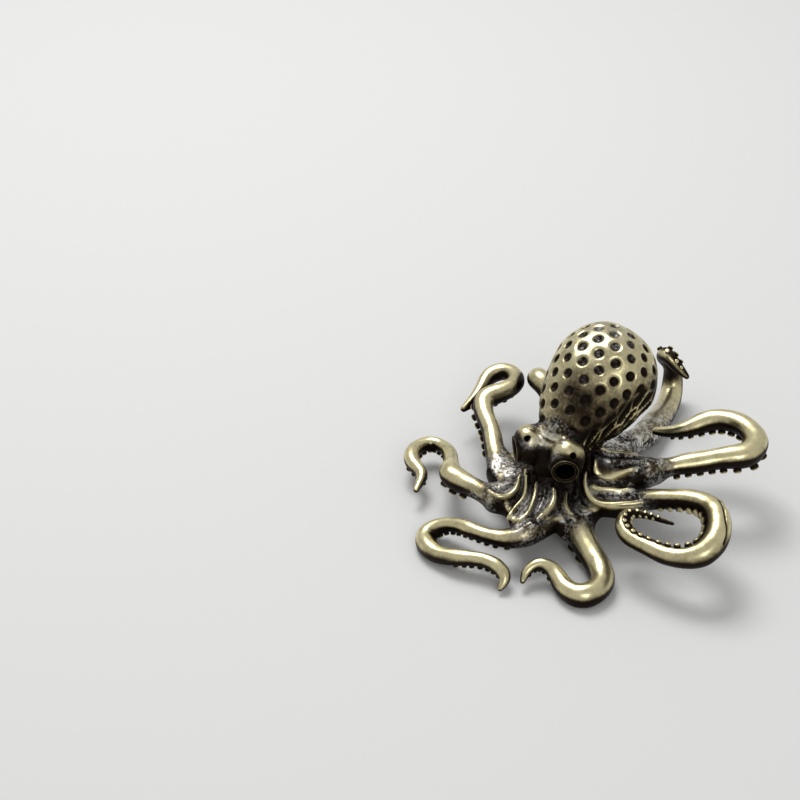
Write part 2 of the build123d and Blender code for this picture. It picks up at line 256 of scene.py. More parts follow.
class Clay:
    """A block of modelling clay, held as distances to its surface on a grid."""

    def __init__(self, low: Place, high: Place, cell: float) -> None:
        """Starts with open air.

        Args:
            low: Low corner of the block.
            high: High corner of the block.
            cell: Side of one grid cell.
        """
        self.cell = cell
        self.low = np.array(low, dtype=float)
        self.counts = np.ceil((np.array(high) - self.low) / cell).astype(int) + 1
        self.field = np.full(self.counts, FAR, dtype=np.float32)

    def window(self, low: np.ndarray, high: np.ndarray) -> Window:
        """Finds the grid part that covers a box.

        Args:
            low: Low corner of the box.
            high: High corner of the box.

        Returns:
            Three slices into the grid.
        """
        first = np.clip(np.floor((np.array(low) - self.low) / self.cell).astype(int), 0, self.counts)
        last = np.clip(np.ceil((np.array(high) - self.low) / self.cell).astype(int) + 1, 0, self.counts)
        return tuple(slice(a, b) for a, b in zip(first, last))

    def axes(self, window: Window) -> Axes:
        """Gives the coordinates of a grid part.

        Args:
            window: Three slices into the grid.

        Returns:
            X, Y and Z arrays that broadcast over the part.
        """
        starts = zip(self.low, window)
        lines = [low + self.cell * np.arange(part.start, part.stop) for low, part in starts]
        x, y, z = (line.astype(np.float32) for line in lines)
        return x[:, None, None], y[None, :, None], z[None, None, :]

    def round_axis(
        self, place: np.ndarray, way: np.ndarray, room: float
    ) -> tuple[Window, np.ndarray, np.ndarray]:
        """Measures the grid part round the start of an axis.

        Args:
            place: Where the axis starts.
            way: Its direction, of length one.
            room: How far round that place is measured.

        Returns:
            The window, distances along the axis and distances from it.
        """
        window = self.window(place - room, place + room)
        away = [line - middle for line, middle in zip(self.axes(window), place)]
        along = sum(part * share for part, share in zip(away, way))
        out = np.sqrt(np.maximum(sum(part**2 for part in away) - along**2, 0))
        return window, along, out

    def add(self, distances: np.ndarray, window: Window, fillet: float) -> None:
        """Adds a form over a window, with a fillet along the join."""
        self.field[window] = blended(self.field[window], distances, fillet)

    def carve(self, distances: np.ndarray, window: Window) -> None:
        """Takes a form over a window out of the clay."""
        self.field[window] = np.maximum(self.field[window], -distances)

    def sample(self, points: np.ndarray) -> np.ndarray:
        """Reads the distance at any places.

        Args:
            points: Array of places.

        Returns:
            One distance per place.
        """
        just_inside = 1.001
        place = np.clip((points - self.low) / self.cell, 0, np.array(self.counts) - just_inside)
        base = place.astype(int)
        share = place - base
        total = np.zeros(len(points))
        for step in CORNERS:
            weight = np.where(step, share, 1 - share).prod(axis=1)
            at = base + step
            total += weight * self.field[at[:, 0], at[:, 1], at[:, 2]]
        return total

    def outward(self, points: np.ndarray) -> np.ndarray:
        """Finds the way out of the clay at any places.

        Args:
            points: Array of places.

        Returns:
            One vector of length one per place.
        """
        slope = np.empty_like(points)
        for axis, step in enumerate(np.eye(3) * self.cell):
            slope[:, axis] = self.sample(points + step) - self.sample(points - step)
        return slope / np.maximum(np.linalg.norm(slope, axis=1, keepdims=True), TINY)

    def skin(self) -> tuple[np.ndarray, np.ndarray]:
        """Meshes the surface.

        Returns:
            Array of points and array of four-cornered faces.
        """
        inside = self.field < 0
        mixed = np.zeros(np.array(self.counts) - 1, dtype=np.int8)
        for step in CORNERS:
            mixed += self.corner_of(inside, step)
        cells = np.argwhere((mixed > 0) & (mixed < len(CORNERS)))
        number = np.full(mixed.shape, -1, dtype=np.int32)
        number[tuple(cells.T)] = np.arange(len(cells))
        values = np.stack([self.field[tuple((cells + step).T)] for step in CORNERS], axis=1)
        total = np.zeros((len(cells), 3))
        crossings = np.zeros((len(cells), 1))
        for start in range(len(CORNERS)):
            for bit in (1, 2, 4):
                if start & bit:
                    continue
                before, after = values[:, start], values[:, start | bit]
                crossed = (before < 0) != (after < 0)
                share = np.where(crossed, before / np.where(crossed, before - after, 1.0), 0.0)[:, None]
                edge = CORNERS[start] + share * (CORNERS[start | bit] - CORNERS[start])
                total += edge * crossed[:, None]
                crossings += crossed[:, None]
        points = self.low + self.cell * (cells + total / crossings)
        return points, self.faces(inside, number)

    @staticmethod
    def corner_of(grid: np.ndarray, step: np.ndarray) -> np.ndarray:
        """Shifts a grid so that each cell reads the corner that lies a step away."""
        return grid[tuple(slice(1, None) if ahead else slice(0, -1) for ahead in step)]

    @staticmethod
    def faces(inside: np.ndarray, number: np.ndarray) -> np.ndarray:
        """Joins the cells' points round each grid edge that the surface crosses.

        Args:
            inside: Whether each grid point is inside the clay.
            number: Index of each cell's point.

        Returns:
            Array of four-cornered faces that face outward.
        """
        found = []
        for axis in range(3):
            here = np.take(inside, range(0, inside.shape[axis] - 1), axis=axis)
            there = np.take(inside, range(1, inside.shape[axis]), axis=axis)
            edges = np.argwhere(here != there)
            others = [other for other in range(3) if other != axis]
            edges = edges[(edges[:, others] > 0).all(axis=1)]
            edges = edges[(edges[:, others] < np.array(number.shape)[others]).all(axis=1)]
            leaving = here[tuple(edges.T)]
            ring = []
            for back in ((0, 0), (1, 0), (1, 1), (0, 1)):
                cell = edges.copy()
                cell[:, others] -= back
                ring.append(number[tuple(cell.T)])
            quads = np.stack(ring, axis=1)
            turned = leaving == (axis == 1)
            quads[turned] = quads[turned][:, ::-1]
            found.append(quads)
        return np.concatenate(found)


@dataclass(frozen=True)
class Arm:
    """One arm of the octopus.

    Each row of shares is across (X), back (Y), lift of the underside over the table, and thickness.
    """

    name: str
    shares: Rows
    reach: float = 30.0  # length that the shares across and back are of
    lift: float = 10.0  # height that the lifts are shares of
    width: float = 3.8  # thickness that the last shares are of
    swell: float = 1.0  # how much thicker the arm is past its root
    swell_span: Span = (0.2, 0.45)  # shares of the route over which it thickens
    pad: float = 0.15  # how far the resting arms are filed flat
    root_flare: float = 0.22  # share that the root is thicker by
    flare_length: float = 3.5
    web_reach: float = 1.6  # how far the web runs out past the arm's root
    inner_share: float = 0.5  # where the arm's hidden start lies between the neck and the root
    inner_climb: float = 1.0  # how much higher that start lies
    inner_slimming: float = 0.3  # how much less its radius is
    inner_balls: int = 40
    ball_step: float = 0.12  # distance between the balls that the arm is made of
    ball_room: float = 1.6  # how far round them distances are measured
    sucker_turn: float = 0.0  # degrees that the suckers are turned from straight down
    sucker_twist: float = 0.0  # further degrees that they turn by the tip
    sucker_end: float = 0.95  # share of the route where the suckers stop
    silver_length: float = 6.0  # how far out the rubbed silver of the web reaches
    silver_start_share: float = 0.3  # share of that length where it starts to fade
    silver_share: float = 0.4

    def knots(self) -> np.ndarray:
        """Places the route.

        Returns:
            Rows of X, Y, Z and radius.
        """
        rows = np.array(self.shares)
        radius = rows[:, 3] * self.width / 2
        height = rows[:, 2] * self.lift + radius - self.pad
        flat = rows[:, :2] * self.reach
        share = np.linspace(0, 1, len(rows))
        radius = radius * (1 + (self.swell - 1) * smooth_step(share, *self.swell_span))
        return np.column_stack([flat - TABLE_MIDDLE[:2], height, radius])

    def line(self, step: float) -> np.ndarray:
        """Runs a smooth line through the route.

        Args:
            step: Distance between its points.

        Returns:
            Rows of X, Y, Z and radius.
        """
        curve, where = smooth_curve(self.knots(), step)
        curve[:, 3] *= 1 + self.root_flare * swelling(where, 0.0, self.flare_length)
        return curve

    def sucker_side(self, line: np.ndarray) -> tuple[np.ndarray, np.ndarray]:
        """Carries the side that the suckers stand on along the arm.

        Args:
            line: Rows of the arm's line.

        Returns:
            Ways along the arm and ways out of its sucker side.
        """
        along = np.gradient(line[:, :3], axis=0)
        along /= np.linalg.norm(along, axis=1, keepdims=True)
        under = np.array([0.0, 0.0, -1.0])
        carried = np.empty_like(along)
        for index, way in enumerate(along):
            under = under - way * (under @ way)
            under /= np.linalg.norm(under)
            carried[index] = under
        turn = np.radians(self.sucker_turn + self.sucker_twist * np.linspace(0, 1, len(along)))[:, None]
        return along, carried * np.cos(turn) - np.cross(along, carried) * np.sin(turn)

    def distances(self, clay: Clay) -> Measured:
        """Measures a grid part round the arm.

        Args:
            clay: Clay whose grid is measured.

        Returns:
            Distances and the window that they cover.
        """
        line = self.line(self.ball_step)
        start = line[0].copy()
        start[:2] = (start[:2] + TABLE_MIDDLE[:2]) * self.inner_share - TABLE_MIDDLE[:2]
        start[2:] += (self.inner_climb, -self.inner_slimming)
        hidden = start + (line[0] - start) * np.linspace(0, 1, self.inner_balls)[:, None]
        line = np.vstack([hidden, line])
        reach = line[:, 3].max() + self.ball_room
        window = clay.window(line[:, :3].min(axis=0) - reach, line[:, :3].max(axis=0) + reach)
        found = np.full([part.stop - part.start for part in window], FAR, dtype=np.float32)
        for place, radius in zip(line[:, :3], line[:, 3]):
            room = radius + self.ball_room
            near = clay.window(place - room, place + room)
            inner = tuple(slice(a.start - b.start, a.stop - b.start) for a, b in zip(near, window))
            found[inner] = np.minimum(found[inner], ball(clay.axes(near), place, radius))
        return found, window


ARMS = (
    Arm(
        "front_right",
        (
            (0.19, -0.16, 0.25, 0.94), (0.30, -0.22, 0.16, 1.00), (0.39, -0.27, 0.09, 1.00),
            (0.47, -0.32, 0.03, 1.00), (0.53, -0.39, 0.00, 0.98), (0.54, -0.47, 0.00, 0.94),
            (0.50, -0.53, 0.00, 0.90), (0.42, -0.53, 0.02, 0.80), (0.35, -0.50, 0.09, 0.67),
            (0.30, -0.49, 0.18, 0.57), (0.25, -0.51, 0.24, 0.50), (0.22, -0.57, 0.19, 0.38),
            (0.23, -0.62, 0.15, 0.20),
        ),
    ),
    Arm(
        "front_left",
        (
            (0.11, -0.35, 0.44, 0.74), (0.12, -0.43, 0.42, 0.72), (0.07, -0.49, 0.38, 0.70),
            (-0.04, -0.53, 0.35, 0.65), (-0.18, -0.53, 0.30, 0.60), (-0.28, -0.53, 0.22, 0.61),
            (-0.35, -0.56, 0.10, 0.68), (-0.37, -0.61, 0.00, 0.76), (-0.32, -0.67, 0.00, 0.78),
            (-0.23, -0.70, 0.04, 0.72), (-0.12, -0.69, 0.13, 0.64), (0.00, -0.65, 0.19, 0.61),
            (0.09, -0.64, 0.18, 0.57), (0.15, -0.66, 0.12, 0.44), (0.16, -0.71, 0.06, 0.22),
        ),
    ),
    Arm(
        "left_front",
        (
            (-0.17, -0.33, 0.45, 0.74), (-0.26, -0.31, 0.44, 0.80), (-0.36, -0.30, 0.42, 0.90),
            (-0.45, -0.29, 0.41, 0.98), (-0.53, -0.20, 0.39, 0.72), (-0.61, -0.10, 0.34, 0.61),
            (-0.70, -0.04, 0.28, 0.58), (-0.78, -0.04, 0.26, 0.59), (-0.81, -0.10, 0.25, 0.63),
            (-0.79, -0.19, 0.26, 0.66), (-0.73, -0.25, 0.25, 0.63), (-0.66, -0.28, 0.25, 0.50),
            (-0.62, -0.34, 0.26, 0.38), (-0.60, -0.40, 0.27, 0.24),
        ),
        root_flare=0.05,
        web_reach=-0.3,
    ),
    Arm(
        "left_back",
        (
            (-0.27, -0.11, 0.36, 0.73), (-0.35, -0.05, 0.44, 0.77), (-0.43, 0.03, 0.51, 0.78),
            (-0.52, 0.12, 0.57, 0.78), (-0.62, 0.20, 0.62, 0.79), (-0.67, 0.28, 0.68, 0.76),
            (-0.63, 0.38, 0.74, 0.75), (-0.63, 0.49, 0.75, 0.68), (-0.69, 0.56, 0.74, 0.62),
            (-0.76, 0.57, 0.71, 0.60), (-0.81, 0.52, 0.65, 0.62), (-0.80, 0.43, 0.59, 0.58),
            (-0.78, 0.34, 0.54, 0.48), (-0.79, 0.25, 0.51, 0.24),
        ),
        sucker_turn=-22.5,
        swell=1.14,
        sucker_end=0.62,
    ),
    Arm(
        "back_left",
        (
            (-0.27, 0.25, 0.36, 0.76), (-0.30, 0.36, 0.41, 0.75), (-0.35, 0.44, 0.60, 0.73),
            (-0.41, 0.49, 0.82, 0.71), (-0.47, 0.51, 0.95, 0.68), (-0.51, 0.54, 0.91, 0.65),
            (-0.53, 0.59, 0.76, 0.61), (-0.53, 0.64, 0.59, 0.56), (-0.49, 0.68, 0.45, 0.48),
            (-0.43, 0.71, 0.41, 0.36), (-0.38, 0.69, 0.43, 0.20),
        ),
        swell=1.45,
    ),
    Arm(
        "back_right",
        (
            (0.03, 0.48, 0.24, 1.08), (0.03, 0.64, 0.12, 1.10), (0.02, 0.81, 0.03, 1.12),
            (-0.01, 0.98, 0.00, 1.08), (-0.05, 1.12, 0.00, 1.00), (-0.08, 1.21, 0.12, 0.90),
            (-0.10, 1.24, 0.36, 0.83), (-0.11, 1.22, 0.64, 0.77), (-0.12, 1.17, 0.86, 0.70),
            (-0.09, 1.14, 0.97, 0.62), (-0.03, 1.14, 0.87, 0.52), (0.04, 1.15, 0.76, 0.26),
        ),
        silver_length=24.0,
        silver_share=0.9,
    ),
    Arm(
        "right_back",
        (
            (0.38, 0.20, 0.80, 0.73), (0.47, 0.30, 0.87, 0.76), (0.57, 0.40, 0.91, 0.83),
            (0.67, 0.49, 0.96, 0.87), (0.74, 0.57, 0.99, 0.84), (0.73, 0.67, 1.03, 0.72),
            (0.65, 0.75, 1.05, 0.65), (0.55, 0.78, 1.03, 0.65), (0.46, 0.76, 1.00, 0.64),
            (0.39, 0.70, 0.94, 0.56), (0.33, 0.64, 0.88, 0.45), (0.26, 0.61, 0.82, 0.33),
            (0.19, 0.60, 0.79, 0.17),
        ),
        swell=1.4,
    ),
    Arm(
        "right_front",
        (
            (0.38, 0.02, 0.53, 0.71), (0.48, 0.08, 0.65, 0.72), (0.59, 0.12, 0.74, 0.78),
            (0.70, 0.14, 0.80, 0.86), (0.81, 0.12, 0.84, 0.94), (0.90, 0.04, 0.82, 0.98),
            (0.94, -0.05, 0.73, 0.97), (0.92, -0.13, 0.64, 0.90), (0.85, -0.19, 0.59, 0.80),
            (0.76, -0.21, 0.57, 0.72), (0.65, -0.21, 0.58, 0.65), (0.55, -0.20, 0.61, 0.60),
            (0.49, -0.16, 0.67, 0.53), (0.48, -0.09, 0.74, 0.42), (0.54, -0.06, 0.79, 0.31),
            (0.63, -0.06, 0.85, 0.20), (0.71, -0.06, 0.90, 0.11),
        ),
        sucker_turn=15.0,
        swell=1.03,
        sucker_twist=140.0,
    ),
)


@dataclass(frozen=True)
class Web:
    """The folded skirt between the neck and the arms' roots.

    The valleys are listed by their direction, from the one between the arms left_back and left_front on
    towards the front.
    """

    crest: float = 10.6  # height at the neck
    fall_power: float = 2.1  # how steeply it falls from there
    valley_shares: tuple[float, ...] = (0.86, 0.98, 0.96, 0.88, 0.84, 0.86, 0.80, 0.84)
    valley_skews: tuple[float, ...] = (0.0, 0.05, 0.0, 0.0, 0.0, 0.0, 0.0, 0.0)
    valley_rises: tuple[float, ...] = (0.5, -0.8, 0.3, 0.5, 0.5, 0.5, 0.5, 0.5)
    valley_power: float = 0.7  # below 1 a valley is broad
    neck_half_thickness: float = 1.8
    edge_half_thickness: float = 0.95
    edge_corner: float = 0.8
    edge_slant: float = 0.9
    steepest: float = 2.5  # slope up to which the thickness is measured square to the sheet
    room: float = 17.5
    room_height: float = 14.0
    rim_share: float = 0.97
    rim_width: float = 0.06
    rim_drop: float = 0.5
    rim_valley: Span = (0.55, 0.95)
    rim_facing: Span = (0.1, 0.5)
    rim_polish: float = 0.85
    rim_silver_loss: float = 0.6
    least_rim_turn: float = 0.5  # radians between two arms from which their valley has a rim
    fold_lines: tuple[Rows, ...] = (
        ((-3.8, -4.8), (-2.6, -7.6), (-3.1, -9.4), (-4.4, -10.5), (-6.4, -10.1)),
        ((-3.6, -3.6), (-2.4, -5.2), (-1.1, -7.4), (-1.0, -9.8), (-0.7, -12.0), (-1.2, -13.4)),
        ((-0.3, -5.0), (0.9, -7.5), (1.6, -9.2), (2.3, -11.4), (1.9, -13.6)),
        ((2.3, -5.0), (3.5, -6.4), (4.2, -8.9), (4.2, -11.4)),
        ((3.6, -3.0), (4.5, -4.9), (6.0, -6.0), (7.4, -6.4)),
        ((4.6, 0.4), (5.5, -1.3), (7.0, -2.3), (8.7, -2.5), (10.8, -1.9), (13.0, -0.5), (15.2, 1.3)),
        ((6.2, -1.3), (7.6, -1.2), (9.2, -0.4), (12.1, 1.8)),
        ((5.3, 1.6), (6.0, 0.8), (7.9, 1.1), (9.4, 2.3), (11.1, 4.1)),
        ((3.6, 3.4), (5.6, 3.6), (7.8, 5.4), (9.6, 6.4)),
        ((2.4, 4.2), (3.2, 6.6), (4.6, 8.6), (5.0, 10.8)),
        ((-0.9, 4.4), (-1.2, 7.6), (-2.4, 10.2), (-3.8, 11.4)),
        ((-2.6, 3.6), (-4.4, 5.4), (-5.0, 8.2), (-6.6, 10.2)),
        ((-3.8, 2.2), (-6.2, 2.4), (-8.0, 4.0), (-9.2, 6.2)),
        ((-4.2, 0.2), (-6.4, 0.2), (-8.2, 0.8), (-9.6, 2.4)),
    )
    fold_step: float = 0.12
    fold_reach: float = 16.0  # distance from the neck within which folds are looked for
    fold_width: float = 0.34
    fold_width_shares: Span = (0.6, 0.5)  # share at the ends, and what the swell adds
    fold_height: float = 0.48
    fold_taper: Span = (-0.3, 0.9)
    fold_end: Span = (1.0, 1.3)
    fold_start: Span = (2.0, 3.4)
    fold_room: float = 4.0  # height over the web up to which its marks reach
    fold_room_fade: float = 1.5
    fold_facing: Span = (-0.1, 0.2)
    fold_polish: float = 0.95
    fold_polished: Span = (0.3, 0.8)
    groove_offset: float = 0.85
    groove_width: float = 0.42
    groove_depth: float = 0.25
    neck_shadow: Span = (5.0, 8.5)
    patina_and_shade: float = 0.45
    extra_patina_and_shade: float = 0.5  # what a groove adds, and what the neck's shadow adds
    most_patina_and_shade: float = 0.97
    silver_facing: Span = (0.35, 0.85)
    groove_silver_loss: float = 0.8
    neck_silver_loss: float = 0.9
    fillet: float = 1.5

    def edge(self, angle: np.ndarray) -> tuple[np.ndarray, np.ndarray, np.ndarray]:
        """Finds the web's edge in any direction from the neck.

        Args:
            angle: Directions, in radians from X towards Y.

        Returns:
            Plan distance and height of the edge, and how near the middle of a wide valley it is.
        """
        roots = np.array([arm.knots()[0] for arm in ARMS])
        flat = roots[:, :2] + TABLE_MIDDLE[:2]
        turns = np.arctan2(flat[:, 1], flat[:, 0])
        reaches = np.hypot(flat[:, 0], flat[:, 1]) + [arm.web_reach for arm in ARMS]
        order = np.argsort(turns)
        order = np.append(order, order[0])
        turns, reaches, heights = turns[order], reaches[order], roots[order, 2]
        turns[-1] += 2 * math.pi
        wrapped = (angle - turns[0]) % (2 * math.pi) + turns[0]
        index = np.clip(np.searchsorted(turns, wrapped, "right") - 1, 0, len(ARMS) - 1)
        wide = turns[index + 1] - turns[index]
        share = (wrapped - turns[index]) / wide
        eased = share * share * (3 - 2 * share)
        reach = reaches[index] + (reaches[index + 1] - reaches[index]) * eased
        height = heights[index] + (heights[index + 1] - heights[index]) * eased
        dip = np.sin(math.pi * share) ** self.valley_power
        tables = (self.valley_shares, self.valley_skews, self.valley_rises)
        valley, skew, rise = (np.array(table)[index] for table in tables)
        reach = reach * (1 - (1 - valley) * dip - skew * np.sin(2 * math.pi * share))
        return reach, height + rise * dip, dip * (wide > self.least_rim_turn)

    def middle(self, height: np.ndarray, share: np.ndarray) -> np.ndarray:
        """Finds the height of the web's middle from its edge's height and the share of the way out."""
        return height + (self.crest - height) * np.clip(1 - share, 0, 1) ** self.fall_power

    def distances(self, clay: Clay) -> Measured:
        """Measures the grid part round the web.

        Args:
            clay: Clay whose grid is measured.

        Returns:
            Distances and the window that they cover.
        """
        neck, room = -TABLE_MIDDLE, self.room
        window = clay.window(neck + [-room, -room, 0.0], neck + [room, room, self.room_height])
        x, y, z = clay.axes(window)
        away, side = x - neck[0], y - neck[1]
        out = np.hypot(away, side)
        reach, height, _ = self.edge(np.arctan2(side, away))
        share = out / reach
        middle = self.middle(height, share)
        slope = np.hypot(*np.gradient(middle[:, :, 0], clay.cell))[:, :, None]
        lean = 1 / np.sqrt(1 + np.minimum(slope, self.steepest) ** 2)
        thickening = (self.neck_half_thickness - self.edge_half_thickness) * np.clip(1 - share, 0, 1)
        sheet = np.abs(z - middle) * lean - (self.edge_half_thickness + thickening)
        rim = (out - reach) * self.edge_slant
        return cornered(sheet, rim, self.edge_corner).astype(np.float32), window

    def folds(self, points: np.ndarray) -> tuple[np.ndarray, np.ndarray, np.ndarray, np.ndarray]:
        """Finds how high the folds stand.

        Args:
            points: Places on the skin.

        Returns:
            Height of the fold, depth of the recess beside it, the web's share of each point and the rim's.
        """
        neck = -TABLE_MIDDLE[:2]
        lines = [smooth_curve(np.array(line), self.fold_step)[0] for line in self.fold_lines]
        counts = [np.arange(len(line)) for line in lines]
        ends = np.concatenate([self.fold_step * np.minimum(count, count[::-1]) for count in counts])
        swell = smooth_step(ends, *self.fold_taper)
        off = points[:, :2] - neck
        out = np.hypot(off[:, 0], off[:, 1])
        near = np.flatnonzero(out < self.fold_reach)
        found, index = nearest(points[near, :2], neck + np.concatenate(lines))
        spread, raised = np.full(len(points), FAR), np.zeros(len(points))
        spread[near], raised[near] = found[:, 0], swell[index]
        reach, height, dip = self.edge(np.arctan2(off[:, 1], off[:, 0]))
        share, z = out / reach, points[:, 2]
        top = self.middle(height, share) + self.fold_room
        inside = (1 - smooth_step(share, *self.fold_end)) * smooth_step(out, *self.fold_start)
        inside = inside * (1 - smooth_step(z, top, top + self.fold_room_fade))
        thin, thick = self.fold_width_shares
        ridge = swelling(spread, 0.0, self.fold_width * (thin + thick * raised)) * raised
        groove = swelling(spread, self.groove_offset, self.groove_width)
        rim = swelling(share, self.rim_share, self.rim_width) * (z > height - self.rim_drop) * (z < top)
        rim *= smooth_step(dip, *self.rim_valley)
        return ridge * inside, groove * inside, inside, rim


@dataclass(frozen=True)
class Head:
    """The neck and face with the two eye bulges.

    Each section is a share of the height, then shares of the width, of the depth and of the lean.
    """

    sections: Rows = (
        (0.00, 0.88, 0.95, 0.00), (0.30, 0.88, 0.98, 0.30), (0.55, 0.90, 0.88, 0.62),
        (0.75, 0.86, 0.70, 0.60), (0.92, 0.62, 0.50, 0.50), (1.00, 0.40, 0.36, 0.40),
    )
    foot: float = 6.4
    height: float = 10.4
    width: float = 8.4
    depth: float = 7.8
    corner: float = 1.6
    side_shift: float = 0.4
    lean: float = 2.7
    room_middle: Place = (0.0, -2.0, 12.0)
    room: float = 10.0
    eye_spread: float = 6.5
    eye_forward: float = 4.2
    eye_height: float = 13.4
    eye_radius: float = 2.6
    eye_room: float = 5.0
    eye_turn: float = 37.0
    eye_raise: float = -4.0
    left_extra_turn: float = 6.0
    socket_radius: float = 2.0
    socket_floor: float = 1.2
    pupil_radius: float = 1.45
    pupil_floor: float = -1.1
    bulge_fillet: float = 0.6
    brow_offset: Place = (0.0, 0.5, 1.0)
    brow_radius: float = 2.45
    saddle_offset: Place = (0.0, 1.2, 0.7)
    saddle_radius: float = 1.7
    saddle_fillet: float = 1.0
    fillet: float = 1.0

    def face(self) -> np.ndarray:
        """Finds the middle between the eyes."""
        return np.array([self.side_shift, -self.eye_forward, self.eye_height]) - TABLE_MIDDLE

    def eye(self, side: Side) -> tuple[np.ndarray, np.ndarray]:
        """Finds an eye bulge.

        Args:
            side: Side of the face.

        Returns:
            Middle of the bulge and the way that the eye looks.
        """
        turn = self.eye_turn + (self.left_extra_turn if side is Side.LEFT else 0.0)
        across = self.side_shift + side.value * self.eye_spread / 2
        middle = np.array([across, -self.eye_forward, self.eye_height]) - TABLE_MIDDLE
        return middle, facing_way(side.value * turn, self.eye_raise)

    def distances(self, clay: Clay) -> Measured:
        """Measures the grid part round the head.

        Args:
            clay: Clay whose grid is measured.

        Returns:
            Distances and the window that they cover.
        """
        middle = np.array(self.room_middle) - TABLE_MIDDLE
        window = clay.window(middle - self.room, middle + self.room)
        x, y, z = clay.axes(window)
        rows = np.array(self.sections)
        rise = (z - self.foot) / self.height
        width, depth, lean = (np.interp(rise, rows[:, 0], rows[:, part]) for part in (1, 2, 3))
        half_width, half_depth = width * self.width / 2, depth * self.depth / 2
        across = (x + TABLE_MIDDLE[0] - self.side_shift * np.clip(rise, 0, 1)) / half_width
        along = (y + TABLE_MIDDLE[1] + lean * self.lean) / half_depth
        wall = (np.hypot(across, along) - 1) * np.minimum(half_width, half_depth)
        ends = np.maximum(self.foot - z, z - self.foot - self.height)
        form = cornered(wall, ends, self.corner)
        for side in Side:
            place, _ = self.eye(side)
            brow = place + np.array(self.brow_offset)
            form = blended(form, ball((x, y, z), place, self.eye_radius), self.bulge_fillet)
            form = blended(form, ball((x, y, z), brow, self.brow_radius), self.bulge_fillet)
        saddle = self.face() + np.array(self.saddle_offset)
        reach = np.maximum(np.abs(x - saddle[0]) - self.eye_spread / 2, 0)
        bridge = np.sqrt(reach**2 + (y - saddle[1]) ** 2 + (z - saddle[2]) ** 2) - self.saddle_radius
        return blended(form, bridge, self.saddle_fillet).astype(np.float32), window

    def socket(self, clay: Clay, side: Side) -> Measured:
        """Measures a socket.

        Args:
            clay: Clay whose grid is measured.
            side: Side of the face.

        Returns:
            Distances and the window that they cover.
        """
        window, along, out = clay.round_axis(*self.eye(side), self.eye_room)
        seat = np.maximum(out - self.socket_radius, self.socket_floor - along)
        pupil = np.maximum(out - self.pupil_radius, self.pupil_floor - along)
        return np.minimum(seat, pupil).astype(np.float32), window


